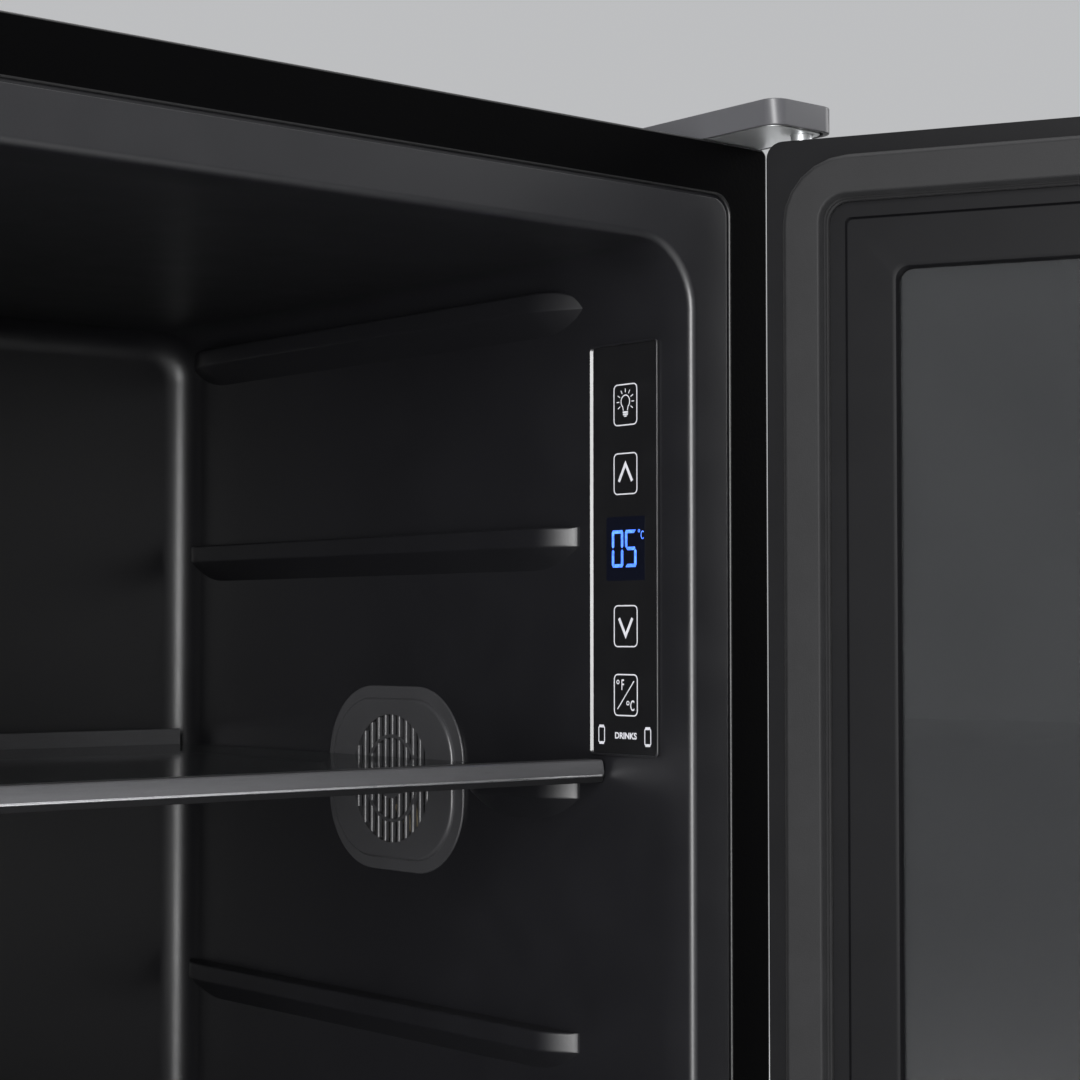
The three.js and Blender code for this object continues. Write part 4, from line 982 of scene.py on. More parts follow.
# ---------------------------------------------------------------- liner
@dataclass(frozen=True)
class Liner:
    """The moulded inner tub: flange, rounded mouth, walls, shelf ledges and compressor step."""

    reach: float = 19.7
    skin: float = 1.5
    mouth_radius: float = 23.0
    flange_radius: float = 6.7
    lip: float = 3.1
    flare: float = 1.15
    back_fillet: float = 14.0
    hump_front: float = 222.0
    hump_rise: float = 133.0
    hump_radius: float = 5.6
    hump_foot: float = 6.0
    hump_heel: float = 8.0
    skirt: float = 4.0
    flange_edge: float = 0.5
    ledge_depth: float = 9.0
    ledge_face: float = 7.5
    ledge_slope: float = 9.0
    ledge_start: float = 62.0
    ledge_back_gap: float = 6.0
    ledge_round: float = 15.5
    ledge_fade: float = 27.0
    beak_reach: float = 4.6
    beak_drop: float = 4.4
    beak_length: float = 15.0
    first_drop: float = 9.5
    second_drop: float = 92.1
    ledge_count: int = 7
    notch: float = 51.0
    fan_bore: float = 27.5
    fan_clearance: float = 42.0
    pocket_inset: float = 2.7

    def build(self) -> None:
        """Builds the tub, the step over the compressor and the ledges."""
        box = Span.of("inner_liner")
        ring = Ring(box.low.x + self.reach, box.high.x - self.reach, box.low.z + self.reach,
                    box.high.z - self.reach, steps=12)
        self.tub(box, ring)
        self.hump(box, ring)
        self.ledges(box, ring)

    def tub(self, box: Span, ring: Ring) -> None:
        """Builds the flange, lip, walls and back."""
        front, back = box.low.y, box.high.y
        t, r, f = self.skin, self.mouth_radius, self.back_fillet
        profile = [(-f + f * math.cos(a), back - t - f + f * math.sin(a), r - f + f * math.cos(a))
                   for a in (math.radians(90 - 15 * k) for k in range(7))]
        flare, lip = self.flare, self.lip
        profile += [(flare * k * k / 36, front + lip + 15 - 2.5 * k, r + flare * k * k / 36)
                    for k in range(6)]
        profile += [(flare + lip + u, front + lip + v, r + flare + lip + u) for u, v in
                    arc((0, 0), lip, 180, 270, 8)]
        out, edge, skirt = self.reach, self.flange_edge, self.skirt
        profile += [(out - edge, front, self.flange_radius), (out - 0.15, front + 0.15,
                    self.flange_radius), (out, front + edge, self.flange_radius),
                    (out, front + t, self.flange_radius),
                    (out + skirt, front + t + 0.02, self.flange_radius + skirt),
                    (out + skirt, front + t + 0.2, self.flange_radius + skirt),
                    (flare + t + 0.6, front + t + 0.2, r + t + 0.6)]
        profile += [(flare + t, front + lip + 1.5, r + t), (t, front + lip + 17, r + t)]
        profile += [(-f + (f + t) * math.cos(a), back - t - f + (f + t) * math.sin(a),
                     r - f + (f + t) * math.cos(a))
                    for a in (math.radians(15 * k) for k in range(7))]
        tub = ring.sweep(profile, Axis.Y, capped=True)
        fan, panel, lamp = (Span.of(n) for n in ("fan_cover", "control_bezel", "light_housing"))
        step = block((box.low.x - 5, front + self.hump_front + 0.8, box.low.z - 5),
                     (box.high.x + 5, back + 5, ring.v0 + self.hump_rise - 0.8))
        bore = turned([(0, ring.u1 - 3), (self.fan_bore, ring.u1 - 3),
                       (self.fan_bore, ring.u1 + 5), (0, ring.u1 + 5)], Axis.X,
                      (fan.middle.y, fan.middle.z), 48)
        pockets = []
        for side, hole in ((1, panel), (-1, lamp)):
            wall = ring.u1 if side > 0 else ring.u0
            low_x, high_x = sorted((wall - side * 3, wall + side * 5))
            inset = self.pocket_inset
            pockets.append(block((low_x, hole.low.y + inset, hole.low.z + inset),
                                 (high_x, hole.high.y - inset, hole.high.z - inset)))
        make("liner_tub", tub.minus(step, bore, *pockets), LINER_PLASTIC, Body.CABINET.value,
             ["inner_liner"], sharp=38)

    def hump(self, box: Span, ring: Ring) -> None:
        """Builds the step over the compressor, blended into floor and back."""
        front = box.low.y + self.hump_front
        top = ring.v0 + self.hump_rise
        back, r, t = box.high.y - self.skin, self.hump_radius, self.skin
        foot, heel = self.hump_foot, self.hump_heel
        line: list[Flat] = [(front - foot - 4, ring.v0 + 0.1)]
        line += [(front - foot + u, ring.v0 + foot + v) for u, v in arc((0, 0), foot, 270, 360)]
        line += [(front + r + u, top - r + v) for u, v in arc((0, 0), r, 180, 90, 7)]
        line += [(back - heel + u, top + heel + v) for u, v in arc((0, 0), heel, 270, 360)]
        line += [(back - 0.1, top + heel + 4)]
        inner = [(y + t if y < front + r + 1 else y, z - t) for y, z in line]
        inner[0] = (line[0][0], line[0][1] - 0.3)
        inner[-1] = (line[-1][0] + 0.3, line[-1][1])
        outline = line + inner[::-1]
        form = prism(outline, Axis.X, ring.u0 - 0.4, ring.u1 + 0.4)
        make("liner_step", form, LINER_PLASTIC, Body.CABINET.value, sharp=38)

    def ledge_outline(self, share: float, fade: float, dip: float) -> list[Flat]:
        """Returns a ledge's section, (out from the wall, up from its top).

        Args:
            share: Its share of the full depth.
            fade: Its underside's share of the full drop.
            dip: How far its top lies under the straight part's top.

        Returns:
            The section's outline.
        """
        d = max(self.ledge_depth * share, 0.3)
        drop = self.ledge_face + self.ledge_slope * max(fade, 0.03)
        return rounded([(-1.0, -dip, 0), (d, -dip, min(1.1, 0.4 * d)),
                        (d, -self.ledge_face, min(1.6, 0.4 * d)), (-1.0, -drop - 1.0, 0)], 4)

    def ledge(self, side: int, wall: float, start: float, end: float, top: float,
              beak: bool) -> Form:
        """Builds one ledge along Y: round ends, an underside that fades out at the front.

        Args:
            side: 1 for the right wall, -1 for the left.
            wall: The wall's place in X.
            start: Front end.
            end: Rear end.
            top: Height of its top face.
            beak: Whether its front end reaches forward and slopes down.

        Returns:
            The ledge.
        """
        start -= self.beak_reach if beak else 0
        steps = 14
        runs = [self.ledge_fade * (1 - math.cos(math.pi / 2 * k / steps)) for k in range(steps + 1)]
        stations = []
        for y, run in [(start + run, run) for run in runs] + [(end - r, r) for r in runs[::-1]]:
            nose = 1 - min(run / (self.ledge_round * (1.5 if beak else 1)), 1)
            share, fade = 1 - nose ** 1.5, 1 - (1 - run / self.ledge_fade) ** 2
            front = beak and y < (start + end) / 2
            dip = self.beak_drop * (1 - min(run / self.beak_length, 1)) ** 2 if front else 0.0
            stations.append([Vector((wall - side * out, y, top + up))
                             for out, up in self.ledge_outline(share, fade, dip)])
        return loft(stations)

    def ledges(self, box: Span, ring: Ring) -> None:
        """Builds both walls' ledges; one on the right makes way for the fan cover."""
        shelf = Span.of("lower_shelf_glass")
        fan = Span.of("fan_cover").middle
        first = ring.v1 - self.first_drop
        second = first - self.second_drop
        lowest = shelf.low.z - 0.3
        pitch = (second - lowest) / (self.ledge_count - 2)
        heights = [first] + [second - i * pitch for i in range(self.ledge_count - 1)]
        start = box.low.y + self.ledge_start
        end = box.high.y - self.skin - self.ledge_back_gap
        for name, side, wall in (("right", 1, ring.u1), ("left", -1, ring.u0)):
            parts = []
            for top in heights:
                crossed = side > 0 and abs(top - self.ledge_face - fan.z) < self.fan_clearance
                runs = [(start, end)]
                if crossed:
                    runs = [(start, fan.y - self.notch), (fan.y + self.notch, end)]
                parts += [self.ledge(side, wall, a, b, top, top == first and a == start)
                          for a, b in runs]
            make(f"liner_ledges_{name}", parts[0].plus(*parts[1:]), LINER_PLASTIC,
                 Body.CABINET.value, sharp=40)


# ---------------------------------------------------------------- plates let into the walls
class Wall(Enum):
    """A side wall of the cavity: its side in X."""

    RIGHT = 1
    LEFT = -1

    def seen_at(self, origin: Vector) -> Matrix:
        """Returns the matrix from (right, up, out of the wall), as seen from inside, to the frame."""
        side = self.value
        return Matrix(((0, 0, -side, origin.x), (-side, 0, 0, origin.y), (0, 1, 0, origin.z),
                       (0, 0, 0, 1)))


@dataclass(frozen=True)
class WallPlate:
    """A bordered plate on a cavity wall with a face let into it."""

    housing: str
    face: str
    wall: Wall
    proud: float = 1.8
    radius: float = 1.9
    border: float = 0.62
    chamfer: float = 0.86
    outer_round: float = 0.32
    undercut: float = 1.3
    seat: float = 0.05

    @property
    def face_level(self) -> float:
        """Returns how far the face stands off the wall."""
        return self.proud - self.chamfer

    def box(self) -> Span:
        """Returns the housing's box."""
        return Span.of(self.housing)

    def matrix(self) -> Matrix:
        """Returns the matrix from the plate's own directions to the frame, from its middle."""
        box = self.box()
        front = box.low.x if self.wall is Wall.RIGHT else box.high.x
        return self.wall.seen_at(Vector((front + self.wall.value * self.proud, box.middle.y,
                                         box.middle.z)))

    def build(self, border_finish: Finish, face_finish: Finish, face_slot: str) -> None:
        """Builds the border and the face.

        Args:
            border_finish: Finish of the border.
            face_finish: Finish of the face.
            face_slot: The face's material slot; not used.
        """
        size = self.box().size
        p, o, land, c = self.proud, self.outer_round, self.border, self.chamfer
        levels = [(self.undercut, self.undercut, self.seat), (0.0, 0.0, p - o)]
        levels += [(o - u, o - u, p - o + v) for u, v in arc((0, 0), o, 0, 90, 4)]
        levels += [(land, land, p), (land + 0.04, land + c, self.face_level),
                   (land + 0.04, land + c, self.face_level - 0.4),
                   (land + 2.5, land + 2.5, self.face_level - 0.4), (land + 2.5, land + 2.5, self.seat)]
        stations = []
        for inset, rear, level in levels:
            outline = rectangle(-size.y / 2 + rear, -size.z / 2 + inset, size.y / 2 - inset,
                                size.z / 2 - inset, max(0.25, self.radius - inset), 5)
            stations.append([Vector((u, v, level)) for u, v in outline])
        matrix = self.matrix()
        make(self.housing.replace("housing", "border").replace("bezel", "border"),
             loft(stations, capped=False, closed=True).moved(matrix), border_finish,
             Body.CABINET.value, [self.housing], sharp=28)
        face = prism(rectangle(-size.y / 2 + land + c - 0.1, -size.z / 2 + land - 0.05,
                               size.y / 2 - land + 0.05, size.z / 2 - land + 0.05, 0.6, 4),
                     Axis.Z, self.face_level - 0.35, self.face_level)
        make(self.face + "_plate", face.moved(matrix), face_finish, Body.CABINET.value, [self.face],
             bevel=0.03)


# ---------------------------------------------------------------- printed signs
def ribbon(line: Sequence[Flat], width: float) -> list[Flat]:
    """Returns the outline of an open bent line of even width with mitred bends."""
    points = [Vector(p) for p in line]
    left, right = [], []
    for i, here in enumerate(points):
        before = (here - points[i - 1]).normalized() if i else None
        after = (points[i + 1] - here).normalized() if i + 1 < len(points) else None
        one, two = before or after, after or before
        across = Vector((-(one + two).y, (one + two).x)).normalized()
        reach = width / 2 / max(0.3, across.dot(Vector((-one.y, one.x))))
        left.append(tuple(here + across * reach))
        right.append(tuple(here - across * reach))
    return left + right[::-1]


def lettering(text: str, height: float, narrow: float, centre: Flat, level: float,
              thick: float, bold: float = 0.0) -> Form:
    """Returns plain raised letters.

    Args:
        text: What they say.
        height: Height of a capital.
        narrow: Width as a share of the normal width.
        centre: Middle of the word.
        level: Height of the surface they stand on.
        thick: How far they rise.
        bold: How much each stroke grows.

    Returns:
        The letters.
    """
    curve = bpy.data.curves.new("letters", "FONT")
    curve.body, curve.align_x, curve.align_y = text, "CENTER", "CENTER"
    curve.resolution_u, curve.extrude, curve.offset = 4, 0.01, bold
    thing = bpy.data.objects.new("letters", curve)
    bpy.context.scene.collection.objects.link(thing)
    mesh = thing.evaluated_get(bpy.context.evaluated_depsgraph_get()).to_mesh()
    corners = [v.co.copy() for v in mesh.vertices]
    faces = [tuple(p.vertices) for p in mesh.polygons]
    bpy.data.objects.remove(thing)
    bpy.data.curves.remove(curve)
    low, high = min(c.y for c in corners), max(c.y for c in corners)
    middle = (min(c.x for c in corners) + max(c.x for c in corners)) / 2
    scale = height / (high - low)
    return Form([Vector((centre[0] + (c.x - middle) * scale * narrow,
                         centre[1] + (c.y - (low + high) / 2) * scale,
                         level + (thick if c.z > 0 else 0.0))) for c in corners], faces)


@dataclass(frozen=True)
class Signs:
    """The printed signs and lit figures of the control panel, measured from its middle."""

    level: float
    shift: float = 0.75
    print_rise: float = 0.05
    line: float = 0.47
    key_width: float = 13.4
    key_height: float = 15.9
    key_radius: float = 2.1
    key_rows: tuple[float, float, float, float] = (54.6, 28.4, -29.3, -55.3)
    window_width: float = 21.7
    window_height: float = 24.2
    digit_height: float = 14.1
    digit_width: float = 6.4
    digit_stroke: float = 1.25
    digit_gap: float = 1.05
    foot_row: float = -70.6

    def raised(self, outline: Sequence[Flat], rise: float | None = None) -> Form:
        """Returns a flat sign standing on the face."""
        return prism(outline, Axis.Z, self.level - 0.02, self.level + (rise or self.print_rise))

    def loop(self, u: float, v: float, width: float, height: float, radius: float,
             line: float) -> Form:
        """Returns a printed rectangle outline with round corners, centred on (u, v)."""
        ring = Ring(u - width / 2, u + width / 2, v - height / 2, v + height / 2, 6)
        low, high = self.level - 0.02, self.level + self.print_rise
        return ring.sweep([(0, low, radius), (0, high, radius), (-line, high, radius - line),
                           (-line, low, radius - line)], Axis.Z)

    def keys(self) -> Form:
        """Returns the four key outlines."""
        loops = [self.loop(self.shift, v, self.key_width, self.key_height, self.key_radius,
                           self.line) for v in self.key_rows]
        return loops[0].plus(*loops[1:])

    def chevron(self, v: float, up: int) -> Form:
        """Returns an arrow head that points up (1) or down (-1)."""
        u, wide, tall = self.shift, 3.75, 6.6
        return self.raised(ribbon([(u - wide, v - up * tall / 2), (u, v + up * tall / 2),
                                   (u + wide, v - up * tall / 2)], 1.2))

    def bulb(self) -> Form:
        """Returns the light key's bulb with its rays."""
        u, v = self.shift, self.key_rows[0] + 0.9
        radius = 2.45
        glass = [(u + radius * x, v + 0.3 + radius * y) for x, y in arc((0, 0), 1, -52, 232, 22)]
        neck = [(u + 1.15, v - 3.1)]
        outline = neck + glass + [(u - 1.15, v - 3.1)]
        parts = [self.raised(ribbon(outline, 0.42))]
        for low, high, half in ((-4.1, -3.4, 1.45), (-4.9, -4.25, 1.35), (-5.5, -5.05, 0.8)):
            parts.append(self.raised(rectangle(u - half, v + low, u + half, v + high, 0.2, 3)))
        for k in range(9):
            angle = math.radians(-32 + 244 * k / 8)
            ray = [(u + s * math.cos(angle), v + 0.3 + s * math.sin(angle)) for s in (3.45, 4.95)]
            parts.append(self.raised(ribbon(ray, 0.36)))
        return parts[0].plus(*parts[1:])

    def units(self) -> Form:
        """Returns the temperature scale key's letters, degree rings and stroke."""
        u, v = self.shift, self.key_rows[3]
        stroke = self.raised(ribbon([(u - 4.6, v - 5.3), (u + 4.6, v + 5.3)], 0.42))
        upper = lettering("F", 4.0, 0.62, (u - 1.7, v + 3.9), self.level - 0.02,
                          self.print_rise + 0.02, 0.01)
        lower = lettering("C", 4.0, 0.62, (u + 3.7, v - 3.9), self.level - 0.02,
                          self.print_rise + 0.02, 0.01)
        rings = [self.loop(u + du, v + dv, 1.7, 1.7, 0.84, 0.36)
                 for du, dv in ((-4.4, 4.9), (1.2, -3.0))]
        return stroke.plus(upper, lower, *rings)

    def foot(self) -> Form:
        """Returns the two can outlines and the word between them."""
        parts = []
        for u, v in ((-13.0, self.foot_row + 0.15), (13.0, self.foot_row - 0.1)):
            parts.append(self.loop(u, v, 3.7, 6.1, 0.6, 0.42))
            for up in (-1, 1):
                parts.append(self.raised(rectangle(u - 1.35, v + up * 3.35 - 0.33, u + 1.35,
                                                   v + up * 3.35 + 0.33, 0.15, 2)))
        word = lettering("DRINKS", 2.5, 1.06, (self.shift, self.foot_row), self.level - 0.02,
                         self.print_rise + 0.02, 0.025)
        return parts[0].plus(*parts[1:], word)

    def digit(self, left: float, lit: str) -> list[Form]:
        """Returns the lit bars of one seven-bar figure, named a to g from the top clockwise."""
        w, h, s, cut = self.digit_width, self.digit_height, self.digit_stroke, 0.16
        x0, x1, low, high = left, left + w, -h / 2, h / 2
        flat = {"a": high - s / 2, "g": 0.0, "d": low + s / 2}
        tall = {"f": (x0 + s / 2, 0.0, high), "b": (x1 - s / 2, 0.0, high),
                "e": (x0 + s / 2, low, 0.0), "c": (x1 - s / 2, low, 0.0)}
        bars = []
        for name in lit:
            if name in flat:
                v, a, b = flat[name], x0 + s / 2 + cut, x1 - s / 2 - cut
                outer = s / 2 if name != "g" else 0.0
                lean = -1 if name == "d" else 1
                bars.append([(a, v), (a - outer + cut, v + lean * s / 2),
                             (b + outer - cut, v + lean * s / 2), (b, v),
                             (b - s / 2, v - lean * s / 2), (a + s / 2, v - lean * s / 2)])
            else:
                u, bottom, top = tall[name]
                a, b = bottom + cut + s * 0.35, top - cut - s * 0.35
                bars.append([(u, a - s * 0.3), (u + s / 2, a + s * 0.2), (u + s / 2, b - s * 0.2),
                             (u, b + s * 0.3), (u - s / 2, b - s * 0.2), (u - s / 2, a + s * 0.2)])
        return [self.raised([(self.shift + u, v) for u, v in bar], 0.06) for bar in bars]

    def figures(self) -> Form:
        """Returns the lit temperature and its small degree sign."""
        left = -(2 * self.digit_width + self.digit_gap) / 2 - 0.8
        bars = self.digit(left, "abcdef")
        bars += self.digit(left + self.digit_width + self.digit_gap, "afgcd")
        edge = self.shift + self.window_width / 2
        small = lettering("C", 3.2, 0.55, (edge - 1.5, 4.9), self.level, 0.06)
        degree = self.loop(edge - 3.3, 6.5, 1.2, 1.2, 0.58, 0.3)
        return bars[0].plus(*bars[1:], small, degree)

    def build(self, matrix: Matrix) -> None:
        """Builds the signs on the panel whose matrix is given."""
        half_w, half_h = self.window_width / 2, self.window_height / 2
        window = self.raised(rectangle(self.shift - half_w, -half_h, self.shift + half_w, half_h,
                                       0.3, 2), 0.015)
        signs = (("display_window", window, WINDOW_GLOSS), ("key_outlines", self.keys(), PANEL_INK_PAINTED_GLOW),
                 ("light_sign", self.bulb(), PANEL_INK_PAINTED_GLOW),
                 ("warmer_sign", self.chevron(self.key_rows[1] + 0.4, 1), PANEL_INK_PAINTED_GLOW),
                 ("cooler_sign", self.chevron(self.key_rows[2] - 0.3, -1), PANEL_INK_PAINTED_GLOW),
                 ("unit_sign", self.units(), PANEL_INK_PAINTED_GLOW), ("drinks_sign", self.foot(), PANEL_INK_PAINTED_GLOW),
                 ("display_figures", self.figures(), DIGIT_GLOW))
        for name, form, finish in signs:
            make(name, form.moved(matrix), finish, Body.CABINET.value)


@dataclass(frozen=True)
class Controls:
    """The touch panel in the right wall and the light in the left wall."""

    def build(self) -> None:
        """Builds both wall plates, the signs and what lies behind them."""
        panel = WallPlate("control_bezel", "control_face", Wall.RIGHT)
        panel.build(PANEL_BORDER, PANEL_GLOSS, "gloss_black")
        Signs(panel.face_level).build(panel.matrix())
        lamp = WallPlate("light_housing", "light_lens", Wall.LEFT)
        lamp.build(BLACK_PLASTIC, MILKY_LENS, "milky_plastic")
        dress("display_module", PANEL_GLOSS)
        dress("control_board", BOARD, 0.1)


# ---------------------------------------------------------------- fan
@dataclass(frozen=True)
class FanCover:
    """The slotted cover over the circulation fan."""

    radius: float = 32.0
    lip: float = 1.2
    border: float = 5.2
    rise: float = 3.0
    slot_pitch: float = 4.87
    slot_width: float = 2.7
    bar_foot: float = 0.9
    bar_sink: float = 0.15
    bar_overlap: float = 0.6
    bore: float = 27.0
    hub: float = 8.5

    def build(self) -> None:
        """Builds the cover, its upright bars and hub, and dresses the fan behind it."""
        box = Span.of("fan_cover")
        origin = Vector((box.low.x + self.rise, box.middle.y, box.middle.z))
        matrix = Wall.RIGHT.seen_at(origin)
        half_u, half_v = box.size.y / 2, box.size.z / 2
        ring = Ring(-half_u, half_u, -half_v, half_v, 14)
        flat = [(-12, 0.3), (0, 0.3), (0, self.lip - 0.5)]
        flat += arc((-0.5, self.lip - 0.5), 0.5, 0, 90, 3)
        b, top = self.border, self.rise
        flat += [(-b + 0.4, self.lip + 0.1), (-b, self.lip + 0.35)]
        flat += arc((-b - 1.5, top - 1.5), 1.5, 0, 90, 6) + [(-12, top)]
        plate = ring.sweep([(u, w, self.radius + u) for u, w in flat], Axis.Z, capped=True)
        hole = turned([(0, -2), (self.bore, -2), (self.bore, top + 2), (0, top + 2)], Axis.Z,
                      (0, 0), 64)
        count = int(self.bore // self.slot_pitch)
        bars = []
        for i in range(-count, count + 1):
            u = i * self.slot_pitch
            reach = math.sqrt((self.bore + self.bar_overlap) ** 2 - u * u)
            half = (self.slot_pitch - self.slot_width) / 2
            section = [(u + half, self.bar_foot)]
            section += [(u + half * x, top - self.bar_sink - half + half * y)
                        for x, y in arc((0, 0), 1, 0, 180, 8)]
            section += [(u - half, self.bar_foot)]
            bars.append(loft([[Vector((x, v, z)) for x, z in section] for v in (-reach, reach)]))
        made = plate.minus(hole).plus(*bars)
        make("fan_grille", made.moved(matrix), GRILLE_PLASTIC, Body.CABINET.value, ["fan_cover"],
             sharp=40)
        hub = turned([(0, 0.6), (self.hub, 0.6), (self.hub, top - 0.2), (self.hub - 0.7, top + 0.1),
                      (self.hub * 0.5, top + 0.3), (0, top + 0.35)], Axis.Z, (0, 0), 40)
        band = turned([(17.0, 0.8), (18.6, 0.8), (18.6, top - 0.5), (18.2, top - 0.2),
                       (17.4, top - 0.2), (17.0, top - 0.5)], Axis.Z, (0, 0), 56)
        make("grille_hub", hub.plus(band).moved(matrix), GRILLE_PLASTIC, Body.CABINET.value,
             sharp=40)
        dress("fan_frame", MOTOR_PLASTIC, 0.4)
        dress("fan_rotor", MOTOR_PLASTIC, 0.15)


# ---------------------------------------------------------------- shelves
@dataclass(frozen=True)
class Shelf:
    """One glass shelf with its front and rear trims."""

    level: str
    chamfer: float = 2.7
    bow: float = 0.75
    bead: float = 0.62
    bead_inset: float = 1.6
    bead_taper: float = 0.6
    # Faces whose normal points down more than this get the painted shade.
    underside: float = -0.3
    web: float = 3.2
    slant: float = 2.4
    glass_seat: float = 0.5
    glass_room: float = 4.6

    def build(self) -> None:
        """Builds the glass and both trims."""
        body = f"{self.level}_shelf"
        box = Span.of(f"{self.level}_shelf_front_trim")
        f, b, z0, z1 = box.low.y, box.high.y, box.low.z, box.high.z
        seat, room = z0 + self.glass_seat, z0 + self.glass_seat + self.glass_room
        c, bow = self.chamfer, self.bow
        front = [(f + bow * (1 - k / 5) ** 2, z1 - 0.5 - (z1 - z0 - c - 0.9) * (1 - k / 5))
                 for k in range(6)]
        outline = rounded([(f + c, z0, 0.35), (b, z0, 0.3), (b, seat, 0), (f + self.web, seat, 0),
                           (f + self.web, room, 0), (b, room, 0.2), (b, z1, 0.4),
                           (f + 0.5, z1, 0.2)] + [(y, z, 0.0) for y, z in front[::-1]]
                          + [(f + bow + 0.35, z0 + c - 0.25, 0.3)], 4)
        ends = []
        for side, x in ((-1, box.low.x), (1, box.high.x)):
            for inset, shrink in ((0.0, 0.45), (0.45, 0.0)) if side < 0 else ((0.45, 0), (0, 0.45)):
                ends.append([Vector((x - side * (inset + self.slant * (z - z0) / (z1 - z0)),
                                     y + shrink * (0.5 if y < (f + b) / 2 else -0.5),
                                     z + shrink * (0.5 if z < (z0 + z1) / 2 else -0.5)))
                             for y, z in outline])
        trim = make(f"{self.level}_trim_front", loft(ends), TRIM_SATIN, body,
                    [f"{self.level}_shelf_front_trim"], sharp=24)
        # Downward-facing faces of the trim get a much darker paint: painted shade under the trim.
        trim.data.materials.append(TRIM_PAINTED_SHADE.material())
        for face in trim.data.polygons:
            face.material_index = int(face.normal.z < self.underside)
        # A pale polished bead along the lower front edge of the dark trim: its pale metal stands in for
        # the bright line on that edge, a painted highlight.
        middle, r = (f + self.bow + self.bead - 0.12, z0 + c + 0.1), self.bead
        outer, inner = self.bead_inset, self.bead_inset + self.bead_taper
        bead = loft([[Vector((x, middle[0] + share * r * u, middle[1] + share * r * v))
                      for u, v in arc((0, 0), 1, 0, 337.5, 15)]
                     for x, share in ((box.low.x + outer, 0.5), (box.low.x + inner, 1.0),
                                      (box.high.x - inner, 1.0), (box.high.x - outer, 0.5))])
        make(f"{self.level}_trim_highlight_bead", bead, BEAD_METAL_PAINTED_HIGHLIGHT, body, sharp=50)

        pane = Span.of(f"{self.level}_shelf_glass")
        make(f"{self.level}_glass_pane", prism(
            rectangle(pane.low.x, pane.low.y, pane.high.x, pane.high.y, 3, 4), Axis.Z, pane.low.z,
            pane.high.z), SHELF_GLASS, body, [f"{self.level}_shelf_glass"],
            bevel=0.6, segments=3)

        rail = Span.of(f"{self.level}_shelf_rear_trim")
        y0, y1, bottom, top = rail.low.y, rail.high.y, rail.low.z, rail.high.z
        section = rounded([(y0, bottom, 0.3), (y1, bottom, 0.5), (y1, top, 0.7),
                           (y1 - 1.7, top, 0.5), (y1 - 1.7, bottom + 0.5, 0), (y0, bottom + 0.5, 0)])
        make(f"{self.level}_trim_rear", prism(section, Axis.X, rail.low.x, rail.high.x), TRIM_SATIN,
             body, [f"{self.level}_shelf_rear_trim"], bevel=0.12, sharp=50)


